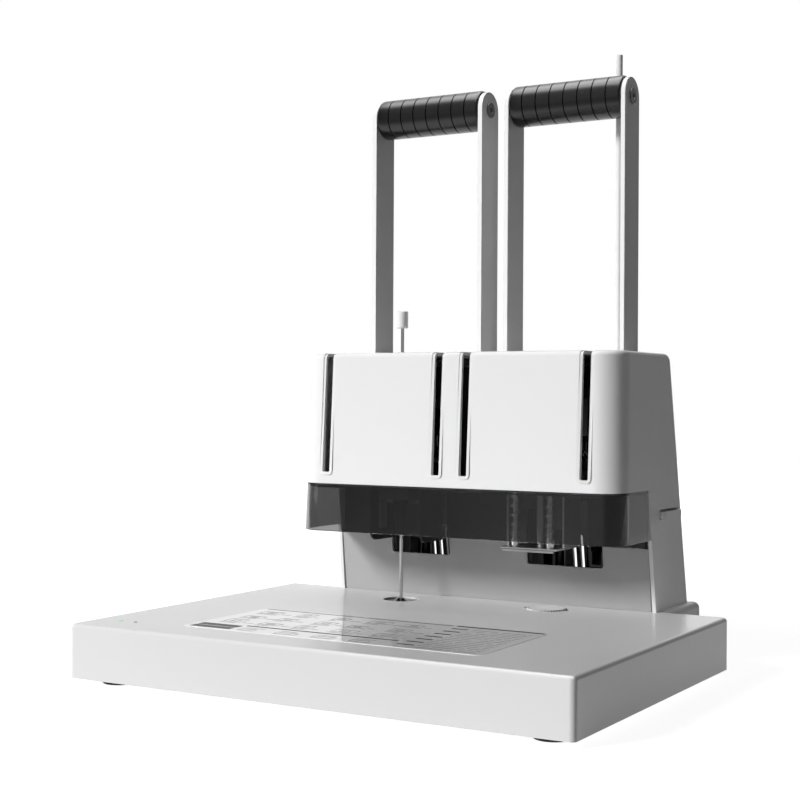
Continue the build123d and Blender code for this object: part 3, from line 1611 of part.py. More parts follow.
plate_top = base_top + yoke_plate_top_rise
pieces = {
    "base_cover": base_cover.part,
    "base_plate": base_plate.part,
    "rubber_feet": rubber_feet.part,
    "rear_plinth": rear_plinth.part,
    "status_lights": status_lights.part,
    "label": label.part,
    "die_seat": die_seat.part,
    "lower_die": lower_die.part,
    "drill_pad": drill_pad.part,
    "housing": housing.part,
    "rear_cover": rear_cover.part,
    "back_wall": back_wall.part,
    "chassis_plate": chassis_plate.part,
    "visor": visor.part,
    "head_floor": head_floor.part,
    "rivet_yoke": yoke(rivet_x, bracket_half_width - bracket_thickness, plate_top, True),
    "drill_yoke": yoke(drill_x, foot_half_width - foot_sheet - foot_side_gap, spindle_top, False),
    "rivet_bracket": rivet_bracket.part,
    "insulator": insulator.part,
    "heater_block": heater_block.part,
    "upper_die": upper_die.part,
    "needle_rod": needle_rod.part,
    "needle_knob": needle_knob.part,
    "needle_bush": needle_bush.part,
    "spindle_housing": spindle_housing.part,
    "spindle_bearings": spindle_bearings.part,
    "drill_motor": drill_motor.part,
    "drill_chuck": drill_chuck.part,
    "hollow_drill": hollow_drill.part,
    "presser_foot": presser_foot.part,
    "presser_rods": presser_rods.part,
    "presser_springs": presser_springs.part,
    "rivet_tube": rivet_tube.part,
    "tube_guide": tube_guide.part,
    "cutter_bracket": cutter_bracket.part,
    "cutter_lever": cutter_lever.part,
    "cutter_blade": cutter_blade.part,
    "tube_chute": tube_chute.part,
    "power_inlet": power_inlet.part,
    "switch_bezel": switch_bezel.part,
    "power_rocker": power_rocker.part,
    "control_board": control_board.part,
    "cover_screws": cover_screws.part,
    "pivot_bushes": pivot_bushes.part,
    "guide_rods": guide_rods.part,
    "return_springs": return_springs.part,
}
for station, x in zip(("rivet", "drill"), stations):
    pieces[f"{station}_frame"] = station_frame(x)
    pieces[f"{station}_rack"] = rack(x)
    pieces[f"{station}_gear"] = sector_gear(x)
    pieces[f"{station}_handle_bars"] = handle_bars(x)
    pieces[f"{station}_arms"] = handle_arms(x)
    pieces[f"{station}_end_screws"] = end_screws(x)
    pieces[f"{station}_grip"] = grip(x)

for name, piece in pieces.items():
    piece.label = name
    export_step(piece, f"parts/{name}.step")
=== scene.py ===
import json
import math

import bmesh
import bpy
import numpy as np
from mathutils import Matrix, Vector

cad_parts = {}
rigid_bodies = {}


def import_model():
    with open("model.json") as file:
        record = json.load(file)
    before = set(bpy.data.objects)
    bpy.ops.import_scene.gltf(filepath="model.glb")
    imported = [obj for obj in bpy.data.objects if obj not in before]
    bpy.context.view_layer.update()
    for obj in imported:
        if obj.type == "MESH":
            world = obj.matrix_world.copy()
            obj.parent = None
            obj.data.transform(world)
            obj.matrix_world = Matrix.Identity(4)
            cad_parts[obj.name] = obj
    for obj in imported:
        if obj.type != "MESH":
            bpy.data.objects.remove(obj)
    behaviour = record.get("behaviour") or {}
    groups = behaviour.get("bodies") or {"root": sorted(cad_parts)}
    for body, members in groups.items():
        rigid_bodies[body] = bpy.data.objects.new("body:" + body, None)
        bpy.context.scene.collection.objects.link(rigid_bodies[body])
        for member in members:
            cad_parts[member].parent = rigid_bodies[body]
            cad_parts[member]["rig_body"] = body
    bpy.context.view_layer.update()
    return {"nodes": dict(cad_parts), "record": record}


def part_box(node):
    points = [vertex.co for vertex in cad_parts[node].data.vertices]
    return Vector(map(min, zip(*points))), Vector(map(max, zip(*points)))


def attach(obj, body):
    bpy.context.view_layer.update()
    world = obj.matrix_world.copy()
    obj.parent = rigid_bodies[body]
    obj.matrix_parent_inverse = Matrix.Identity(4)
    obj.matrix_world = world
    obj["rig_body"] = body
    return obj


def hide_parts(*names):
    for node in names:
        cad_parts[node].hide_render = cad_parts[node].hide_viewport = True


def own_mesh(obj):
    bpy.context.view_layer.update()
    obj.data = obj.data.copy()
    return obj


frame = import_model()
nodes = frame["nodes"]
bodyOfNode = {name: part["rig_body"] for name, part in nodes.items()}
slotOfNode = {row["node"]: row["material_slot"] for row in frame["record"]["subparts"]}
print("frame loaded:", len(nodes), "nodes")


# a colour as it is written on screen, 0 to 1, on the shader's linear scale
def tone(red, green=None, blue=None):
    channels = (red, red if green is None else green, red if blue is None else blue)
    return tuple(((c + 0.055) / 1.055) ** 2.4 if c > 0.04045 else c / 12.92 for c in channels) + (1.0,)


# a linear colour made darker or lighter by a factor
def scaled(colour, factor):
    return tuple(min(1.0, c * factor) for c in colour[:3]) + (1.0,)


# quads over rows x columns of points; wrapping joins the last column to the first
def latticeFaces(rows, columns, wrap=False):
    r, c = np.meshgrid(np.arange(rows - 1), np.arange(columns if wrap else columns - 1), indexing="ij")
    right = (c + 1) % columns
    corners = (r * columns + c, r * columns + right, (r + 1) * columns + right, (r + 1) * columns + c)
    return np.stack([corner.ravel() for corner in corners], axis=1)


# doubles merged and faces turned outwards; flatter closes up coplanar triangles as well
def weld(mesh, flatter=False):
    work = bmesh.new()
    work.from_mesh(mesh)
    bmesh.ops.remove_doubles(work, verts=work.verts, dist=2e-6)
    if flatter:
        bmesh.ops.dissolve_limit(work, angle_limit=math.radians(0.5), verts=work.verts, edges=work.edges)
    bmesh.ops.recalc_face_normals(work, faces=work.faces)
    work.to_mesh(mesh)
    work.free()


def shadeSmooth(mesh, angle):
    mesh.shade_smooth()
    mesh.set_sharp_from_angle(angle=math.radians(angle))


def addObject(name, mesh):
    piece = bpy.data.objects.new(name, mesh)
    bpy.context.scene.collection.objects.link(piece)
    return piece


# points (n, 3) and quads (m, 4) put into a mesh object, welded and smooth up to an angle
def meshPiece(name, points, quads, angle=40):
    mesh = bpy.data.meshes.new(name)
    mesh.vertices.add(len(points))
    mesh.vertices.foreach_set("co", np.asarray(points, np.float32).ravel())
    mesh.loops.add(quads.size)
    mesh.loops.foreach_set("vertex_index", quads.ravel().astype(np.int32))
    mesh.polygons.add(len(quads))
    mesh.polygons.foreach_set("loop_start", np.arange(0, quads.size, 4, dtype=np.int32))
    mesh.update(calc_edges=True)
    weld(mesh)
    shadeSmooth(mesh, angle)
    return addObject(name, mesh)


# a turned form: (radius, place along the axis) pairs swept round an axis through a centre
def turned(profile, centre, axis="z", sides=64):
    profile = np.asarray(profile, float)
    angle = np.linspace(0, 2 * math.pi, sides, endpoint=False)
    across = profile[:, :1] * np.cos(angle)
    beside = profile[:, :1] * np.sin(angle)
    along = np.repeat(profile[:, 1:], sides, axis=1)
    order = {"z": (across, beside, along), "x": (along, across, beside)}[axis]
    points = np.stack([part.ravel() for part in order], axis=1) + np.asarray(centre, float)
    return points, latticeFaces(len(profile), sides, wrap=True)


# (radius, place) pairs round a convex corner: a quarter circle from its flat side to its round side
def cornerRows(radius, place, bend, flip=1, steps=6):
    angle = np.linspace(0, math.pi / 2, steps)
    return [(radius - bend * (1 - math.sin(a)), place + flip * bend * (1 - math.cos(a))) for a in angle]


# a round wire along a coil: the centre line is centre + coil radius * (cos t, sin t), its height is
# read from a table over the turns, and each circle stands on the outward direction and on the
# cross product of that with the tangent
def coilWire(centre, radius, wire, turns, heights, stepsPerTurn=36, sides=10):
    t = np.linspace(0, 2 * math.pi * turns, int(turns * stepsPerTurn) + 1)
    outward = np.stack([np.cos(t), np.sin(t), np.zeros_like(t)], axis=1)
    line = np.asarray(centre, float) + radius * outward
    line[:, 2] = np.interp(t / t[-1], *np.transpose(heights))
    tangent = np.gradient(line, axis=0)
    tangent /= np.linalg.norm(tangent, axis=1)[:, None]
    upward = np.cross(tangent, outward)
    ring = np.linspace(0, 2 * math.pi, sides, endpoint=False)[None, :, None]
    tube = line[:, None] + wire / 2 * (np.cos(ring) * outward[:, None] + np.sin(ring) * upward[:, None])
    tips = np.repeat(line[[0, -1]][:, None], sides, axis=1)
    points = np.concatenate([tips[:1], tube, tips[1:]]).reshape(-1, 3)
    return points, latticeFaces(len(t) + 2, sides, wrap=True)


# thin slabs from rows of (x0, x1, y0, y1), all between two heights
def slabs(rects, low, high):
    rects = np.asarray(rects, float)
    x, y = rects[:, [0, 1, 1, 0]], rects[:, [2, 2, 3, 3]]
    layers = [np.stack([x, y, np.full_like(x, z)], axis=2) for z in (low, high)]
    points = np.concatenate(layers, axis=1).reshape(-1, 3)
    faces = np.array([[3, 2, 1, 0], [4, 5, 6, 7], [0, 1, 5, 4], [1, 2, 6, 5], [2, 3, 7, 6], [3, 0, 4, 7]])
    return points, (faces[None] + 8 * np.arange(len(rects))[:, None, None]).reshape(-1, 4)


# several point-and-quad sets as one
def joined(sets):
    starts = np.cumsum([0] + [len(points) for points, _ in sets[:-1]])
    quads = [faces + start for (_, faces), start in zip(sets, starts)]
    return np.concatenate([points for points, _ in sets]), np.concatenate(quads)


# a piece rides on the body of a node, takes the finish it is given, and may stand for it
def seat(piece, node, material, stands=True):
    piece.data.materials.clear()
    piece.data.materials.append(material)
    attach(piece, bodyOfNode[node])
    if stands:
        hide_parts(node)
    return piece


# a copy of a CAD node with its edges broken by a small round, as on moulded or folded work
def softened(node, material, width=0.0003, segments=2, angle=30, reshape=None):
    mesh = nodes[node].data.copy()
    mesh.name = node + "_finished"
    weld(mesh, flatter=True)
    if reshape:
        reshape(mesh)
    shadeSmooth(mesh, angle)
    piece = addObject(mesh.name, mesh)
    edge = piece.modifiers.new("broken edge", "BEVEL")
    edge.width = width
    edge.segments = segments
    edge.limit_method = "ANGLE"
    edge.angle_limit = math.radians(angle)
    flat = piece.modifiers.new("flat faces keep their own light", "WEIGHTED_NORMAL")
    flat.keep_sharp = True
    return seat(piece, node, material)


def startGroup(name, inputs, outputs):
    group = bpy.data.node_groups.new(name, "ShaderNodeTree")
    for label, kind, value in inputs:
        group.interface.new_socket(name=label, in_out="INPUT", socket_type=kind).default_value = value
    for label in outputs:
        group.interface.new_socket(name=label, in_out="OUTPUT", socket_type="NodeSocketFloat")
    return group, group.nodes.new("NodeGroupInput").outputs, group.nodes.new("NodeGroupOutput").inputs


# values are numbers or sockets: numbers are set, sockets are linked
def plug(tree, socket, value):
    if isinstance(value, bpy.types.NodeSocket):
        tree.links.new(value, socket)
    else:
        socket.default_value = value


def addNode(tree, kind, inputs=None, **settings):
    node = tree.nodes.new("ShaderNode" + kind)
    for key, value in settings.items():
        setattr(node, key, value)
    for key, value in (inputs or {}).items():
        plug(tree, node.inputs[key], value)
    return node


def calc(tree, operation, *values, clamp=False):
    return addNode(tree, "Math", dict(enumerate(values)), operation=operation, use_clamp=clamp).outputs[0]


def noise(tree, place, scale, detail, roughness=0.5):
    values = {"Vector": place, "Scale": scale, "Detail": detail, "Roughness": roughness}
    return addNode(tree, "TexNoise", values).outputs[0]


def objectPlace(tree):
    return addNode(tree, "TexCoord").outputs["Object"]


grain = {"perMetre": 2500.0, "mottlePerMetre": 9.0, "coarser": 0.31, "coarseShare": 0.6}


# fine raised grain of powder coat or moulded plastic: two sizes of noise added,
# and a slow mottle that shifts tone and gloss a little either way
def makeGrain():
    group, given, out = startGroup(
        "surfaceGrain",
        [
            ("Grains per metre", "NodeSocketFloat", grain["perMetre"]),
            ("Mottle per metre", "NodeSocketFloat", grain["mottlePerMetre"]),
        ],
        ["Height", "Mottle"],
    )
    place = objectPlace(group)
    fine = noise(group, place, given[0], 3.0, 0.55)
    coarse = noise(group, place, calc(group, "MULTIPLY", given[0], grain["coarser"]), 1.0)
    fineHeight = calc(group, "MULTIPLY", fine, 1 - grain["coarseShare"])
    group.links.new(calc(group, "MULTIPLY_ADD", coarse, grain["coarseShare"], fineHeight), out[0])
    group.links.new(noise(group, place, given[1], 4.0, 0.6), out[1])
    return group


streaks = {"stretch": (1.0, 1.0, 0.02), "perMetre": 3500.0, "wider": 0.12}


# grain drawn out along one axis, as a belt or a lathe leaves on steel: noise on stretched coordinates
def makeBrushed():
    group, given, out = startGroup(
        "brushedGrain",
        [
            ("Stretch", "NodeSocketVector", streaks["stretch"]),
            ("Lines per metre", "NodeSocketFloat", streaks["perMetre"]),
        ],
        ["Height", "Streak"],
    )
    stretched = {0: objectPlace(group), 1: given[0]}
    drawn = addNode(group, "VectorMath", stretched, operation="MULTIPLY").outputs[0]
    lines = noise(group, drawn, given[1], 5.0, 0.7)
    wide = noise(group, drawn, calc(group, "MULTIPLY", given[1], streaks["wider"]), 2.0)
    group.links.new(lines, out[0])
    group.links.new(calc(group, "MULTIPLY_ADD", wide, 0.5, calc(group, "MULTIPLY", lines, 0.5)), out[1])
    return group


edgeWearAndHighlight = {"reach": 0.0006, "amount": 0.5, "gain": 3.0, "patchesPerMetre": 220.0}


# edges made paler, as rubbed wear and, on the blackened sheet, also as a painted highlight along
# its edges: how far a rounded normal departs from the true one, broken up by noise
def makeRubbedAndHighlitEdge():
    group, given, out = startGroup(
        "rubbedAndHighlitEdge",
        [("Reach", "NodeSocketFloat", edgeWearAndHighlight["reach"]), ("Amount", "NodeSocketFloat", edgeWearAndHighlight["amount"])],
        ["Mask"],
    )
    rounded = addNode(group, "Bevel", {"Radius": given[0]}, samples=4).outputs[0]
    truth = addNode(group, "NewGeometry").outputs["Normal"]
    along = addNode(group, "VectorMath", {0: rounded, 1: truth}, operation="DOT_PRODUCT").outputs["Value"]
    turn = calc(group, "MULTIPLY", calc(group, "SUBTRACT", 1.0, along, clamp=True), edgeWearAndHighlight["gain"])
    patches = noise(group, objectPlace(group), edgeWearAndHighlight["patchesPerMetre"], 4.0)
    broken = calc(group, "MULTIPLY", turn, patches)
    group.links.new(calc(group, "MULTIPLY", broken, given[1], clamp=True), out[0])
    return group


dust = {"amount": 0.3, "patchesPerMetre": 14.0, "power": 3.0}


# thin dust on faces turned upwards: the cube of the normal's height times a slow noise
def makeDust():
    group, given, out = startGroup(
        "settledDust",
        [
            ("Amount", "NodeSocketFloat", dust["amount"]),
            ("Patches per metre", "NodeSocketFloat", dust["patchesPerMetre"]),
        ],
        ["Mask"],
    )
    truth = addNode(group, "NewGeometry").outputs["Normal"]
    height = addNode(group, "SeparateXYZ", {0: truth}).outputs["Z"]
    upward = calc(group, "POWER", calc(group, "MAXIMUM", height, 0.0), dust["power"])
    patches = noise(group, objectPlace(group), given[1], 6.0, 0.65)
    broken = calc(group, "MULTIPLY", upward, patches)
    group.links.new(calc(group, "MULTIPLY", broken, given[0], clamp=True), out[0])
    return group


grainGroup, brushedGroup, rubbedAndHighlitEdgeGroup, dustGroup = makeGrain(), makeBrushed(), makeRubbedAndHighlitEdge(), makeDust()
print("shader groups made")


def useGroup(tree, group, inputs):
    node = tree.nodes.new("ShaderNodeGroup")
    node.node_tree = group
    for key, value in inputs.items():
        plug(tree, node.inputs[key], value)
    return node.outputs


def mixColour(tree, factor, first, second):
    return addNode(tree, "Mix", {0: factor, 6: first, 7: second}, data_type="RGBA").outputs[2]


# a value's range carried onto another and held at its ends
def mapped(tree, value, start, end, low=0.0, high=1.0):
    limits = {"Value": value, "From Min": start, "From Max": end, "To Min": low, "To Max": high}
    return addNode(tree, "MapRange", limits).outputs[0]


# a noise, which keeps to about 0.2 to 0.8, spread over a range of the shader's values
def spread(tree, value, low, high):
    return mapped(tree, value, 0.15, 0.85, low, high)


# a colour that shifts either side of itself by a share, following a noise
def shifting(tree, value, colour, share):
    darker, lighter = scaled(colour, 1 - share), scaled(colour, 1 + share)
    return mixColour(tree, spread(tree, value, 0.0, 1.0), darker, lighter)


# a height laid on the surface as relief, in metres
def relieve(tree, shader, height, relief):
    bump = addNode(tree, "Bump", {"Height": height, "Distance": relief})
    tree.links.new(bump.outputs[0], shader.inputs["Normal"])


def startMaterial(name, fixed):
    material = bpy.data.materials.new(name)
    material.use_nodes = True
    shader = material.node_tree.nodes["Principled BSDF"]
    for key, value in fixed.items():
        shader.inputs[key].default_value = value
    return material, material.node_tree, shader


# paint, rubber or plastic: a base tone with a slow mottle, a fine raised grain, and where asked dust on
# upward faces, edges turned to another tone (rubbed wear, on the blackened sheet also a painted edge
# highlight) and a clear coat
def coated(
    name, colour, gloss, grains, relief, mottle, dusty=0.0, edgeRubAndHighlight=0.0, under=tone(0.7), coat=0.0, specular=0.5
):
    fixed = {"Coat Roughness": 0.06, "Coat Weight": coat, "Specular IOR Level": specular}
    material, tree, shader = startMaterial(name, fixed)
    height, slow = useGroup(tree, grainGroup, {"Grains per metre": grains})
    shade = shifting(tree, slow, colour, mottle)
    if edgeRubAndHighlight:
        shade = mixColour(tree, useGroup(tree, rubbedAndHighlitEdgeGroup, {"Amount": edgeRubAndHighlight})[0], shade, under)
    if dusty:
        shade = mixColour(tree, useGroup(tree, dustGroup, {"Amount": dusty})[0], shade, tone(0.72))
    tree.links.new(shade, shader.inputs["Base Color"])
    tree.links.new(spread(tree, slow, gloss * 0.94, min(1.0, gloss * 1.06)), shader.inputs["Roughness"])
    relieve(tree, shader, height, relief)
    return material


# flat bar whose two broad sides carry painted shade and whose paler cut edges carry painted light:
# the broad sides are those whose normal lies along X, which stays so as the handle swings about X
def barArmWithPaintedShade(name, side, edge, gloss):
    bar = {"grains": 1700.0, "edgeTo": 0.3, "broadFrom": 0.9, "mottle": 0.015, "relief": 1e-5}
    material, tree, shader = startMaterial(name, {})
    height, slow = useGroup(tree, grainGroup, {"Grains per metre": bar["grains"]})
    across = addNode(tree, "SeparateXYZ", {0: addNode(tree, "NewGeometry").outputs["Normal"]}).outputs["X"]
    paintedShadeOnSides = mapped(tree, calc(tree, "ABSOLUTE", across), bar["edgeTo"], bar["broadFrom"])
    shade = mixColour(tree, paintedShadeOnSides, edge, shifting(tree, slow, side, bar["mottle"]))
    tree.links.new(shade, shader.inputs["Base Color"])
    tree.links.new(spread(tree, slow, gloss * 0.88, gloss * 1.12), shader.inputs["Roughness"])
    relieve(tree, shader, height, bar["relief"])
    return material


# the turning pad: pale, with shade in the notches of its rim, where the sine of the angle round the
# pad's middle times the number of ribs is high and the radius is near the rim
def ribbedPad(name, pale, shaded, gloss):
    ribs = {"count": 40.0, "inner": 0.87, "outer": 0.90, "sharpness": 4.0, "grains": 2200.0, "mottle": 0.02}
    material, tree, shader = startMaterial(name, {"Roughness": gloss})
    low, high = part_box("drill_pad")
    middle, radius = (low + high) / 2, (high.x - low.x) / 2
    fromMiddle = {0: objectPlace(tree), 1: middle}
    local = addNode(tree, "VectorMath", fromMiddle, operation="SUBTRACT").outputs[0]
    parts = addNode(tree, "SeparateXYZ", {0: local}).outputs
    turn = calc(tree, "ARCTAN2", parts["Y"], parts["X"])
    wave = calc(tree, "SINE", calc(tree, "MULTIPLY", turn, ribs["count"]))
    besideSquare = calc(tree, "MULTIPLY", parts["Y"], parts["Y"])
    away = calc(tree, "SQRT", calc(tree, "MULTIPLY_ADD", parts["X"], parts["X"], besideSquare))
    nearRim = mapped(tree, away, ribs["inner"] * radius, ribs["outer"] * radius)
    steep = calc(tree, "MULTIPLY", wave, ribs["sharpness"], clamp=True)
    slow = useGroup(tree, grainGroup, {"Grains per metre": ribs["grains"]})[1]
    tinted = shifting(tree, slow, pale, ribs["mottle"])
    shade = mixColour(tree, calc(tree, "MULTIPLY", steep, nearRim), tinted, shaded)
    tree.links.new(shade, shader.inputs["Base Color"])
    return material


# bare or plated metal: tone and gloss follow the streaks of the brushed grain
def brushed(name, colour, gloss, stretch=(1.0, 1.0, 0.03), lines=3500.0, relief=6e-6, contrast=0.1, edgeRubAndHighlight=0.0):
    material, tree, shader = startMaterial(name, {"Metallic": 1.0})
    height, streak = useGroup(tree, brushedGroup, {"Stretch": stretch, "Lines per metre": lines})
    shade = shifting(tree, streak, colour, contrast)
    if edgeRubAndHighlight:
        shade = mixColour(tree, useGroup(tree, rubbedAndHighlitEdgeGroup, {"Amount": edgeRubAndHighlight})[0], shade, tone(0.9))
    tree.links.new(shade, shader.inputs["Base Color"])
    tree.links.new(spread(tree, streak, gloss * 0.75, gloss * 1.3), shader.inputs["Roughness"])
    relieve(tree, shader, height, relief)
    return material


# smoked clear plastic: a see-through shader whose tint and gloss shift slightly with a slow smudge
def smoked(name, colour, gloss):
    material, tree, shader = startMaterial(name, {"Transmission Weight": 1.0, "IOR": 1.46})
    slow = useGroup(tree, grainGroup, {"Grains per metre": 600.0, "Mottle per metre": 16.0})[1]
    tree.links.new(shifting(tree, slow, colour, 0.035), shader.inputs["Base Color"])
    tree.links.new(spread(tree, slow, gloss * 0.6, gloss * 1.6), shader.inputs["Roughness"])
    return material


# a status light: a milky lens with a faint glow of its own
def lens(name, colour, glow):
    fixed = {"Emission Strength": glow, "Roughness": 0.25, "Coat Weight": 0.5}
    material, tree, shader = startMaterial(name, fixed)
    slow = useGroup(tree, grainGroup, {"Mottle per metre": 400.0})[1]
    shade = mixColour(tree, slow, scaled(colour, 0.85), scaled(colour, 1.15))
    tree.links.new(shade, shader.inputs["Base Color"])
    tree.links.new(shade, shader.inputs["Emission Color"])
    return material


# coated: colour, gloss, grains per metre, relief in metres, mottle; brushed: colour, gloss
housingPaint = coated("white housing paint", tone(0.93), 0.44, 1500.0, 1e-5, 0.008)
tablePaint = coated("satin table paint", tone(0.91), 0.25, 900.0, 1e-6, 0.006)
# back wall: its grey, darker than the housing white, is in part painted shade for the shade under the head
wallPaintWithPaintedShade = coated("grey wall paint with painted shade", tone(0.68), 0.5, 1700.0, 1.2e-5, 0.02)
# handle arms: darker broad sides as painted shade, paler cut edges as painted light
armPaintWithPaintedShade = barArmWithPaintedShade("handle arm paint with painted shade", tone(0.80), tone(0.99), 0.42)
# blackened sheet: its paler edges are partly rubbed wear and partly a painted highlight along the edges
wornAndHighlitEdges = {"edgeRubAndHighlight": 0.5, "under": tone(0.45)}
blackSheet = coated("blackened sheet steel", tone(0.10), 0.42, 1900.0, 1.2e-5, 0.12, **wornAndHighlitEdges)
footRubber = coated("foot rubber", tone(0.10), 0.8, 2600.0, 2e-5, 0.15, dusty=0.2)
gripPlastic = coated("grip plastic", tone(0.06), 0.28, 3000.0, 8e-6, 0.12, coat=0.1)
blackPlastic = coated("black moulded plastic", tone(0.11), 0.45, 2600.0, 1.5e-5, 0.1)
padPlastic = ribbedPad("turning pad plastic", tone(0.95), tone(0.45), 0.5)
milkyNylon = coated("milky nylon", tone(0.94), 0.3, 900.0, 4e-6, 0.02, coat=0.2)
labelFilm = coated("label film", tone(0.985), 0.12, 700.0, 1e-6, 0.008, coat=0.5)
blackInk = coated("black label ink", tone(0.08), 0.35, 700.0, 1e-6, 0.08, specular=0.02)
greyInk = coated("grey label ink", tone(0.30), 0.35, 700.0, 1e-6, 0.08, specular=0.02)
fineInk = coated("fine label ink", tone(0.36), 0.35, 700.0, 1e-6, 0.04, specular=0.02)
castMetal = coated("cast housing metal", tone(0.46), 0.55, 900.0, 4e-5, 0.1, edgeRubAndHighlight=0.4)
# mica: its dark tone is in part painted shade for the shade inside the head
micaSheetWithPaintedShade = coated("mica sheet with painted shade", tone(0.19, 0.18, 0.17), 0.45, 500.0, 1e-5, 0.15)
boardGreen = coated("circuit board", tone(0.13, 0.30, 0.19), 0.4, 800.0, 1e-5, 0.15, coat=0.3)
evenGrain = (1.0, 1.0, 1.0)
zincSteel = brushed("zinc plated steel", tone(0.76, 0.77, 0.79), 0.34, contrast=0.08)
screwSteel = brushed("dull screw steel", tone(0.36), 0.42, stretch=evenGrain, contrast=0.1, edgeRubAndHighlight=0.3)
brightSteel = brushed("bright steel rod", tone(0.78), 0.13, stretch=(1.0, 1.0, 0.05), contrast=0.05)
footSteel = brushed("satin foot steel", tone(0.80), 0.38, contrast=0.08)
guideSteel = brushed("oiled guide steel", tone(0.20), 0.3, stretch=(1.0, 1.0, 0.05), contrast=0.1)
gearSteel = brushed("greased gear steel", tone(0.42), 0.4, stretch=evenGrain, contrast=0.15, edgeRubAndHighlight=0.2)
springSteel = brushed("drawn spring wire", tone(0.96), 0.2, stretch=evenGrain, contrast=0.04)
blockAlloy = brushed("heater block alloy", tone(0.33), 0.45, stretch=evenGrain, contrast=0.1, edgeRubAndHighlight=0.2)
seatSteel = brushed("dark seat steel", tone(0.24), 0.2, stretch=evenGrain, lines=900.0, contrast=0.1)
turnedLines = {"stretch": (1.0, 1.0, 0.2), "lines": 1200.0, "relief": 1e-6}
chromeSteel = brushed("chrome plate", tone(0.90), 0.09, contrast=0.03, **turnedLines)
toolSteel = brushed("ground tool steel", tone(0.70), 0.24, stretch=(0.05, 1.0, 1.0), contrast=0.12, edgeRubAndHighlight=0.3)
bronzeTone = tone(0.72, 0.56, 0.36)
bronzeBush = brushed("sintered bronze", bronzeTone, 0.4, stretch=evenGrain, lines=1800.0, contrast=0.15)
smokedGuard = smoked("smoked guard", tone(0.52), 0.008)
greenLens = lens("green status lens", tone(0.62, 0.84, 0.68), 0.15)
darkLens = lens("dark status lens", tone(0.45, 0.46, 0.45), 0.0)

finishOfSlot = {
    "white_paint": housingPaint,
    "grey_paint": wallPaintWithPaintedShade,
    "black_steel": blackSheet,
    "zinc_steel": zincSteel,
    "bright_steel": brightSteel,
    "handle_paint": armPaintWithPaintedShade,
    "chrome": chromeSteel,
    "tool_steel": toolSteel,
    "cast_metal": castMetal,
    "smoked_guard": smokedGuard,
    "black_rubber": footRubber,
    "black_plastic": blackPlastic,
    "pad_plastic": padPlastic,
    "white_nylon": milkyNylon,
    "label_film": labelFilm,
    "light_lens": darkLens,
    "bronze": bronzeBush,
    "mica": micaSheetWithPaintedShade,
    "board": boardGreen,
}
ownFinish = {
    "base_cover": tablePaint,
    "die_seat": seatSteel,
    "rivet_end_screws": screwSteel,
    "drill_end_screws": screwSteel,
    "cover_screws": screwSteel,
    "rivet_bracket": blackSheet,
    "rivet_frame": blackSheet,
    "drill_frame": blackSheet,
    "presser_foot": footSteel,
    "presser_springs": springSteel,
    "guide_rods": guideSteel,
    "upper_die": guideSteel,
    "tube_chute": blackSheet,
    "rivet_rack": gearSteel,
    "drill_rack": gearSteel,
    "rivet_gear": gearSteel,
    "drill_gear": gearSteel,
    "heater_block": blockAlloy,
    "rivet_grip": gripPlastic,
    "drill_grip": gripPlastic,
}
finishOf = {name: ownFinish.get(name, finishOfSlot[slotOfNode[name]]) for name in nodes}
for name, node in nodes.items():
    node.data.materials.clear()
    node.data.materials.append(finishOf[name])
print("every node has its finish")

# moulded and folded work: the round on the edges of each node, in metres
edgeRounds = {
    "base_cover": 0.0005,
    "rear_plinth": 0.0005,
    "housing": 0.0003,
    "rear_cover": 0.0003,
    "back_wall": 0.0003,
    "chassis_plate": 0.0003,
    "head_floor": 0.0003,
    "visor": 0.0004,
    "rivet_arms": 0.0005,
    "drill_arms": 0.0005,
    "rivet_end_screws": 0.0003,
    "drill_end_screws": 0.0003,
    "presser_foot": 0.0003,
    "rivet_bracket": 0.0003,
    "rivet_yoke": 0.0005,
    "drill_yoke": 0.0005,
    "rivet_frame": 0.0003,
    "drill_frame": 0.0003,
    "spindle_housing": 0.0005,
    "cutter_lever": 0.0005,
    "drill_pad": 0.0002,
    "power_inlet": 0.0003,
    "switch_bezel": 0.0003,
    "power_rocker": 0.0005,
    "heater_block": 0.0004,
    "die_seat": 0.0002,
    "lower_die": 0.0001,
}


# each solid of a node as (lowest corner, highest corner), from its welded copy, in no fixed order
def solidBoxes(node):
    work = bmesh.new()
    work.from_mesh(nodes[node].data)
    bmesh.ops.remove_doubles(work, verts=work.verts, dist=2e-6)
    waiting, boxes = set(work.verts), []
    while waiting:
        front, island = [waiting.pop()], []
        while front:
            vertex = front.pop()
            island.append(vertex.co)
            fresh = {edge.other_vert(vertex) for edge in vertex.link_edges} & waiting
            waiting -= fresh
            front += fresh
        corners = np.array(island)
        boxes.append((corners.min(0), corners.max(0)))
    work.free()
    return boxes


# slot borders: the housing's raised rims pushed back below the face, vertex by vertex along the
# mean normal of the rim's outer faces, so each slot lies in a shallow sunk border
border = {
    "slotWidth": 0.0068,
    "width": 0.0024,
    "raised": 0.0008,
    "sunk": 0.0006,
    "slack": 0.0001,
    "least": 0.0005,
    "sideways": 0.2,
    "forward": 0.1,
    "upward": 0.5,
}


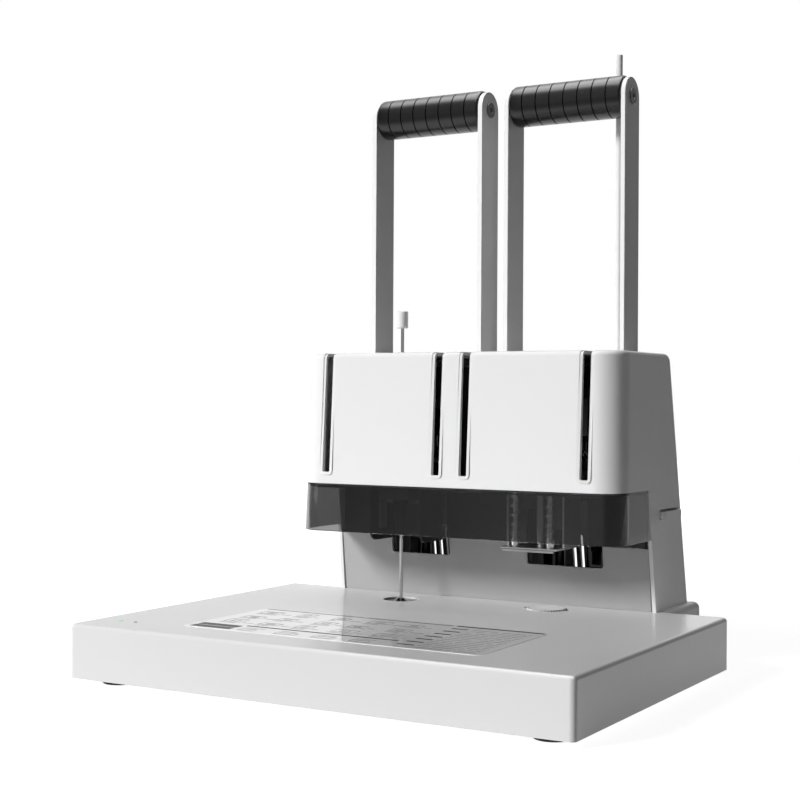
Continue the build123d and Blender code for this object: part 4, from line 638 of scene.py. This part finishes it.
def sinkBorders(mesh):
    points = np.empty(len(mesh.vertices) * 3)
    mesh.vertices.foreach_get("co", points)
    points = points.reshape(-1, 3)
    normals = np.empty(len(mesh.polygons) * 3)
    mesh.polygons.foreach_get("normal", normals)
    normals = normals.reshape(-1, 3)
    starts = np.empty(len(mesh.polygons), int)
    mesh.polygons.foreach_get("loop_start", starts)
    corners = np.empty(len(mesh.loops), int)
    mesh.loops.foreach_get("vertex_index", corners)
    owner = np.repeat(np.arange(len(starts)), np.diff(np.append(starts, len(corners))))
    outside = (normals[:, 1] < -border["forward"]) | (normals[:, 2] > border["upward"])
    facing = (np.abs(normals[:, 0]) < border["sideways"]) & outside
    slide = np.zeros_like(points)
    share = np.zeros(len(points))
    innerEdge, outerEdge = border["slotWidth"] / 2, border["slotWidth"] / 2 + border["width"]
    for arms in ("rivet_arms", "drill_arms"):
        for low, high in solidBoxes(arms):
            away = np.abs(points[corners, 0] - (low[0] + high[0]) / 2)
            least, most = np.minimum.reduceat(away, starts), np.maximum.reduceat(away, starts)
            between = (least > innerEdge - border["slack"]) & (most < outerEdge + border["slack"])
            rim = facing & between & (most > innerEdge + border["least"])
            taken = rim[owner]
            np.add.at(slide, corners[taken], normals[owner[taken]])
            np.add.at(share, corners[taken], 1.0)
    found = share > 0
    slide[found] /= np.linalg.norm(slide[found], axis=1)[:, None]
    points[found] -= slide[found] * (border["raised"] + border["sunk"])
    mesh.vertices.foreach_set("co", points.ravel())
    mesh.update()
    print("slot borders sunk:", int(found.sum()), "points")


reshapeOf = {"housing": sinkBorders}
for name, width in edgeRounds.items():
    softened(name, finishOf[name], width, reshape=reshapeOf.get(name))
print("edges broken on", len(edgeRounds), "pieces")

# grip: a cylinder along X whose radius drops into a groove between its rings and rounds off at both
# ends; grooveShape is (share of the groove's depth, share of its width) from one lip to the other
grip = {"rings": 8, "groove": 0.0011, "depth": 0.0009, "endRound": 0.0028, "boreShare": 0.5, "sides": 96}
grooveShape = ((0.0, -0.5), (0.35, -0.3), (1.0, -0.12), (1.0, 0.12), (0.35, 0.3), (0.0, 0.5))


def gripRows(length, radius):
    start = -length / 2
    rows = [(radius * grip["boreShare"], start)] + cornerRows(radius, start, grip["endRound"])
    for seam in start + np.arange(1, grip["rings"]) * length / grip["rings"]:
        for deep, aside in grooveShape:
            rows.append((radius - grip["depth"] * deep, seam + grip["groove"] * aside))
    rows += cornerRows(radius, -start, grip["endRound"], -1)[::-1]
    return rows + [(radius * grip["boreShare"], -start)]


for station in ("rivet", "drill"):
    low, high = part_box(station + "_grip")
    rows = gripRows(high.x - low.x, (high.z - low.z) / 2)
    points, quads = turned(rows, (low + high) / 2, "x", grip["sides"])
    seat(meshPiece(station + "_grip_ringed", points, quads, 50), station + "_grip", gripPlastic)
print("grips turned")

# needle: a ground rod with a small point, and a knob with a waist line and rounded ends
needle = {"pointShare": 0.5, "sides": 32}
knob = {"round": 0.0011, "waistAt": 0.24, "waistDepth": 0.0003, "waistWidth": 0.0008, "sides": 64}
low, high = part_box("needle_rod")
middle, radius = (low + high) / 2, (high.x - low.x) / 2
point = radius * needle["pointShare"]
needleRows = [(0.0, low.z), (point, low.z), (radius, low.z + point), (radius, high.z), (0.0, high.z)]
points, quads = turned(needleRows, (middle.x, middle.y, 0), "z", needle["sides"])
seat(meshPiece("needle_rod_ground", points, quads), "needle_rod", brightSteel)

low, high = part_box("needle_knob")
radius, waist = (high.x - low.x) / 2, low.z + knob["waistAt"] * (high.z - low.z)
knobRows = [(0.0, low.z)] + cornerRows(radius, low.z, knob["round"])
knobRows += [
    (radius, waist),
    (radius - knob["waistDepth"], waist + knob["waistWidth"] / 3),
    (radius - knob["waistDepth"], waist + knob["waistWidth"] * 2 / 3),
    (radius, waist + knob["waistWidth"]),
]
knobRows += cornerRows(radius, high.z, knob["round"], -1)[::-1] + [(0.0, high.z)]
points, quads = turned(knobRows, (middle.x, middle.y, 0), "z", knob["sides"])
seat(meshPiece("needle_knob_turned", points, quads), "needle_knob", milkyNylon)

# rivet tube: an open tube with slightly rounded rims
tube = {"boreShare": 0.7, "rim": 0.00015, "sides": 48}
low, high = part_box("rivet_tube")
middle, radius = (low + high) / 2, (high.x - low.x) / 2
bore = radius * tube["boreShare"]
tubeRows = [(bore, low.z), (radius, low.z), (radius, high.z - tube["rim"]), (radius - tube["rim"], high.z)]
tubeRows += [(bore + tube["rim"], high.z), (bore, high.z - tube["rim"]), (bore, low.z)]
points, quads = turned(tubeRows, (middle.x, middle.y, 0), "z", tube["sides"])
seat(meshPiece("rivet_tube_clear", points, quads), "rivet_tube", milkyNylon)

# presser springs: round wire with closed end turns; they ride on the foot, so at the foot's limit
# they stand springTravel too high; low.z as the anchor is untested
spring = {
    "wire": 0.0013,
    "turns": 10,
    "closedTurns": 1.1,
    "closedPitch": 1.05,
    "springTravel": 0.0385,
    "rodOffset": 0.0147,
}
low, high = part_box("presser_springs")
middle = (low + high) / 2
coilRadius = (high.y - low.y - spring["wire"]) / 2
bottom, top = low.z + spring["wire"] / 2, high.z - spring["wire"] / 2
endShare = spring["closedTurns"] / spring["turns"]
endRise = spring["closedTurns"] * spring["wire"] * spring["closedPitch"]
heightTable = [(0.0, bottom), (endShare, bottom + endRise), (1 - endShare, top - endRise), (1.0, top)]
coils = []
for side in (-1, 1):
    foot = (middle.x + side * spring["rodOffset"], middle.y, 0)
    coils.append(coilWire(foot, coilRadius, spring["wire"], spring["turns"], heightTable))
springs = seat(meshPiece("presser_springs_wound", *joined(coils), 60), "presser_springs", springSteel)
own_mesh(springs)
print("needle, tube and springs made")

# status lights: low domes, r = radius * cos(a), z = top - sag * (1 - sin(a))
light = {"sag": 0.0008, "steps": 7, "sides": 32}
low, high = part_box("status_lights")
radius = (high.y - low.y) / 2
domeAngles = np.linspace(0, math.pi / 2, light["steps"])
for colourName, x, finish in (("green", low.x + radius, greenLens), ("dark", high.x - radius, darkLens)):
    domeRows = [(0.0, low.z), (radius, low.z)]
    domeRows += [(radius * math.cos(a), high.z - light["sag"] * (1 - math.sin(a))) for a in domeAngles]
    points, quads = turned(domeRows, (x, (low.y + high.y) / 2, 0), "z", light["sides"])
    seat(meshPiece("status_light_" + colourName, points, quads, 60), "status_lights", finish)

# label print, all of it plain marks: (x0, x1, y0, y1) in metres from the label's front left corner
marks = {
    "rise": 0.00003,
    "line": 0.0010,
    "black": [
        (0.004, 0.168, 0.1015, 0.1035),
        (0.171, 0.2405, 0.1015, 0.1050),
        (0.041, 0.168, 0.0220, 0.0250),
    ],
    "grey": [(0.004, 0.0395, 0.0035, 0.0115), (0.004, 0.0395, 0.0130, 0.0215)],
    "bars": {"x": (0.173, 0.1862), "startY": 0.0115, "pitch": 0.01305, "count": 7, "height": 0.0030},
}
rowText = {
    "x": (0.1885, 0.2375),
    "above": 0.0012,
    "belowShare": 0.4,
    "cuts": 4,
    "gap": 0.0016,
    "least": 0.004,
}
figures = {
    "columns": 5,
    "startX": 0.008,
    "pitchX": 0.0320,
    "rows": (0.034, 0.058, 0.082),
    "stray": 0.004,
    "width": (0.012, 0.020),
    "depth": (0.008, 0.014),
    "innerX": (0.3, 0.7),
    "innerY": (0.25, 0.7),
    "tailGap": 0.003,
    "tail": (0.004, 0.012),
    "caption": (0.5, 1.2),
    "captionDrop": 0.0042,
}
footRow = {
    "columns": 4,
    "startX": 0.046,
    "pitchX": 0.031,
    "captionY": 0.0150,
    "caption": (0.010, 0.022),
    "boxY": (0.0045, 0.0115),
    "boxWidth": (0.010, 0.018),
}
barPlaces = marks["bars"]["startY"] + marks["bars"]["pitch"] * np.arange(marks["bars"]["count"])


# the outline of a box as four thin bars
def outline(x0, x1, y0, y1, line):
    sides = [(x0, x1, y0, y0 + line), (x0, x1, y1 - line, y1), (x0, x0 + line / 2, y0, y1)]
    return sides + [(x1 - line / 2, x1, y0, y1)]


# fine marks: broken rows beside the black bars, on the left small outlined figures with short rows,
# and a row of plain boxes in front
def fineMarks():
    random = np.random.default_rng(7)
    line, (rowStart, rowEnd) = marks["line"], rowText["x"]
    below = marks["bars"]["pitch"] * rowText["belowShare"]
    rows = []
    for y in np.concatenate([barPlaces + rowText["above"], barPlaces - below]):
        ends = [rowStart, *np.sort(random.uniform(rowStart, rowEnd, rowText["cuts"])), rowEnd]
        pieces = [(a, b) for a, b in zip(ends, ends[1:]) if b - a > rowText["least"]]
        rows += [(a, b - rowText["gap"], y, y + line) for a, b in pieces]
    for y in figures["rows"]:
        for column in range(figures["columns"]):
            x = figures["startX"] + column * figures["pitchX"] + random.uniform(0, figures["stray"])
            width, depth = random.uniform(*figures["width"]), random.uniform(*figures["depth"])
            rows += outline(x, x + width, y, y + depth, line)
            (x0, x1), (y0, y1) = figures["innerX"], figures["innerY"]
            rows += outline(x + width * x0, x + width * x1, y + depth * y0, y + depth * y1, line)
            tail, caption = x + width + figures["tailGap"], y - figures["captionDrop"]
            rows.append((tail, tail + random.uniform(*figures["tail"]), y, y + line))
            rows.append((x, x + width * random.uniform(*figures["caption"]), caption, caption + line))
    for column in range(footRow["columns"]):
        x, y = footRow["startX"] + column * footRow["pitchX"], footRow["captionY"]
        rows.append((x, x + random.uniform(*footRow["caption"]), y, y + line))
        rows += outline(x, x + random.uniform(*footRow["boxWidth"]), *footRow["boxY"], line)
    return rows


low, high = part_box("label")
bars = [(*marks["bars"]["x"], y, y + marks["bars"]["height"]) for y in barPlaces]
inks = (
    ("black", marks["black"] + bars, blackInk),
    ("grey", marks["grey"], greyInk),
    ("fine", fineMarks(), fineInk),
)
for inkName, rects, ink in inks:
    placed = np.array(rects) + np.array([low.x, low.x, low.y, low.y])
    points, quads = slabs(placed, high.z - marks["rise"], high.z + marks["rise"])
    seat(meshPiece("label_" + inkName + "_marks", points, quads), "label", ink, stands=False)
print("lights and label marks made")

# screw heads: a polar grid, height = head * (1 - (r / R)^4 / 3), less a cross-shaped recess
screw = {
    "rings": 22,
    "sides": 64,
    "height": 0.0018,
    "slot": 0.00045,
    "reach": 0.62,
    "depth": 0.6,
    "blur": 0.00015,
    "skirt": 0.2,
    "belowBase": 0.012,
}


def screwHead(centre, normal, radius, height):
    upAxis = np.array(Vector(normal).normalized())
    acrossAxis = np.array(Vector(normal).orthogonal().normalized())
    besideAxis = np.cross(upAxis, acrossAxis)
    r = np.linspace(0, 1, screw["rings"])[:, None] * radius
    angle = np.linspace(0, 2 * math.pi, screw["sides"], endpoint=False)[None]
    x, y = r * np.cos(angle), r * np.sin(angle)
    crown = height * (1 - (r / radius) ** 4 / 3) * np.ones_like(angle)
    nearest = np.minimum(np.abs(x), np.abs(y))
    inSlot = 1 / (1 + np.exp((nearest - screw["slot"]) / (screw["blur"] / 3)))
    inReach = 1 / (1 + np.exp((r - screw["reach"] * radius) / (screw["blur"] / 2)))
    crown = crown - screw["depth"] * height * inSlot * inReach
    flat = np.array(centre) + x[..., None] * acrossAxis + y[..., None] * besideAxis
    top = flat + crown[..., None] * upAxis
    skirt = top[-1:] - (crown[-1:] + height * screw["skirt"])[..., None] * upAxis
    grid = np.concatenate([top, skirt, np.broadcast_to(skirt.mean(axis=1, keepdims=True), skirt.shape)])
    return grid.reshape(-1, 3), latticeFaces(len(grid), screw["sides"], wrap=True)


rearLean = 0.164  # how far the tower's back leans, per unit of height
heads = []
for low, high in solidBoxes("cover_screws"):
    centre, radius, tall = (low + high) / 2, (high[0] - low[0]) / 2, screw["height"]
    if high[2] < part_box("base_plate")[1].z + screw["belowBase"]:
        heads.append(screwHead((centre[0], centre[1], low[2] + tall), (0, 0, -1), radius, tall))
    else:
        normal = Vector((0, 1, rearLean)).normalized()
        heads.append(screwHead(centre - np.array(normal) * tall / 2, normal, radius, tall))
seat(meshPiece("cover_screw_heads", *joined(heads), 50), "cover_screws", screwSteel)
print("screw heads made:", len(heads))

# studio: a low even key from the front left, a near softbox on the left, a fill from behind
studio = {
    "floorSize": 8.0,
    "floorDepth": 0.01,
    "floorTone": tone(0.64),
    "floorGlow": 0.90,
    "glowStart": 0.35,
    "glowEnd": 0.8,
    "ambient": 0.045,
    "glossDark": 0.10,
    "glossFront": 0.60,
    "glossRight": 0.15,
    "glossAbove": 6.0,
    "floorGloss": 0.95,
    "floorFront": (-0.7, -0.3),
    "floorRight": (0.25, 0.7),
    "key": {"from": (-0.46, -0.76, 0.47), "away": 4.0, "angle": 16.0, "strength": 2.95},
    "lamps": [
        ("left softbox", (-0.95, -0.5, 0.32), (0.0, 0.0, 0.04), 0.4, 2.5),
        ("rear fill", (-0.7, 2.2, 0.5), (0.0, 0.0, 0.25), 1.2, 10.0),
    ],
}


# where the sides seen in gloss begin and end, as parts of the direction: left and right in front,
# the right behind, the back and overhead
glossEdges = {
    "left": (-0.62, -0.38),
    "right": (0.3, 0.6),
    "backRight": (0.0, 0.2),
    "back": (0.0, 0.15),
    "above": (0.78, 0.88),
}


# the floor keeps the shadow as paint does; to the camera it adds its own white, from floorGlow
# beside the object to 1 at glowEnd from it, so the far floor and the backdrop are one;
# to gloss it is white beside and behind the object and dark far in front
def floorMaterial():
    material, tree, shader = startMaterial("studio floor", {"Roughness": 0.9, "Specular IOR Level": 0.1})
    slow = useGroup(tree, grainGroup, {"Grains per metre": 60.0, "Mottle per metre": 0.5})[1]
    shade = mixColour(tree, slow, studio["floorTone"], scaled(studio["floorTone"], 0.99))
    tree.links.new(shade, shader.inputs["Base Color"])
    ray = addNode(tree, "LightPath").outputs
    place = objectPlace(tree)
    away = addNode(tree, "VectorMath", {0: place}, operation="LENGTH").outputs["Value"]
    white = mapped(tree, away, studio["glowStart"], studio["glowEnd"], studio["floorGlow"])
    parts = addNode(tree, "SeparateXYZ", {0: place}).outputs
    bright = studio["floorGloss"]
    front = mapped(tree, parts["Y"], *studio["floorFront"], studio["glossDark"], bright)
    right = mapped(tree, parts["X"], *studio["floorRight"], bright, studio["glossRight"])
    gloss = calc(tree, "MINIMUM", front, right)
    straight = calc(tree, "MAXIMUM", ray["Is Camera Ray"], ray["Is Transmission Ray"])
    bounced = calc(tree, "MULTIPLY", ray["Is Glossy Ray"], gloss)
    strength = calc(tree, "MAXIMUM", calc(tree, "MULTIPLY", straight, white), bounced)
    glow = addNode(tree, "Emission", {"Strength": strength})
    both = addNode(tree, "AddShader", {0: shader.outputs[0], 1: glow.outputs[0]})
    tree.links.new(both.outputs[0], tree.nodes["Material Output"].inputs["Surface"])
    return material


half = studio["floorSize"] / 2
floor = meshPiece("studio_floor", *slabs([(-half, half, -half, half)], -studio["floorDepth"], 0.0))
floor.data.materials.append(floorMaterial())


# the world is white to the camera and through glass; gloss sees it white behind, bright overhead,
# dark to the front left and to the right; and it gives the object a weak even light
def studioWorld():
    world = bpy.data.worlds.new("studio")
    world.use_nodes = True
    tree = world.node_tree
    ray = addNode(tree, "LightPath").outputs
    direction = addNode(tree, "SeparateXYZ", {0: addNode(tree, "TexCoord").outputs["Generated"]}).outputs
    dark, middling, right = studio["glossDark"], studio["glossFront"], studio["glossRight"]
    fromLeft = mapped(tree, direction["X"], *glossEdges["left"], dark, middling)
    fromRight = mapped(tree, direction["X"], *glossEdges["right"], middling, right)
    notRight = mapped(tree, direction["X"], *glossEdges["backRight"], 1.0, right)
    behind = calc(tree, "MINIMUM", mapped(tree, direction["Y"], *glossEdges["back"]), notRight)
    overhead = mapped(tree, direction["Z"], *glossEdges["above"], 0.0, studio["glossAbove"])
    front = calc(tree, "MINIMUM", fromLeft, fromRight)
    gloss = calc(tree, "MAXIMUM", front, calc(tree, "MAXIMUM", behind, overhead))
    straight = calc(tree, "MAXIMUM", ray["Is Camera Ray"], ray["Is Transmission Ray"])
    bright = calc(tree, "MAXIMUM", straight, calc(tree, "MULTIPLY", ray["Is Glossy Ray"], gloss))
    sky = tree.nodes["Background"].inputs
    sky["Color"].default_value = (1.0, 1.0, 1.0, 1.0)
    tree.links.new(calc(tree, "MAXIMUM", bright, studio["ambient"]), sky["Strength"])
    bpy.context.scene.world = world


# a lamp turned from its place towards an aim; gloss sees only the world's white and dark sides
def addLamp(lampName, kind, place, aim, power):
    lamp = addObject(lampName, bpy.data.lights.new(lampName, kind))
    lamp.data.energy = power
    lamp.location = place
    lamp.rotation_euler = (Vector(aim) - Vector(place)).to_track_quat("-Z", "Y").to_euler()
    lamp.visible_glossy = False
    return lamp.data


studioWorld()
key = studio["key"]
keyLamp = addLamp("key light", "SUN", Vector(key["from"]) * key["away"], (0, 0, 0), key["strength"])
keyLamp.angle = math.radians(key["angle"])
for lampName, place, aim, size, watts in studio["lamps"]:
    addLamp(lampName, "AREA", place, aim, watts).size = size

camera = {"place": (0.5594, -1.0083, 0.2088), "turn": (90.0, -0.305, 30.253), "lens": 67.53, "sensor": 36.0}
viewer = addObject("camera", bpy.data.cameras.new("camera"))
viewer.data.lens = camera["lens"]
viewer.data.sensor_width = camera["sensor"]
viewer.location = camera["place"]
viewer.rotation_euler = [math.radians(angle) for angle in camera["turn"]]
bpy.context.scene.camera = viewer
bpy.context.scene.view_settings.view_transform = "Standard"
print("studio ready")
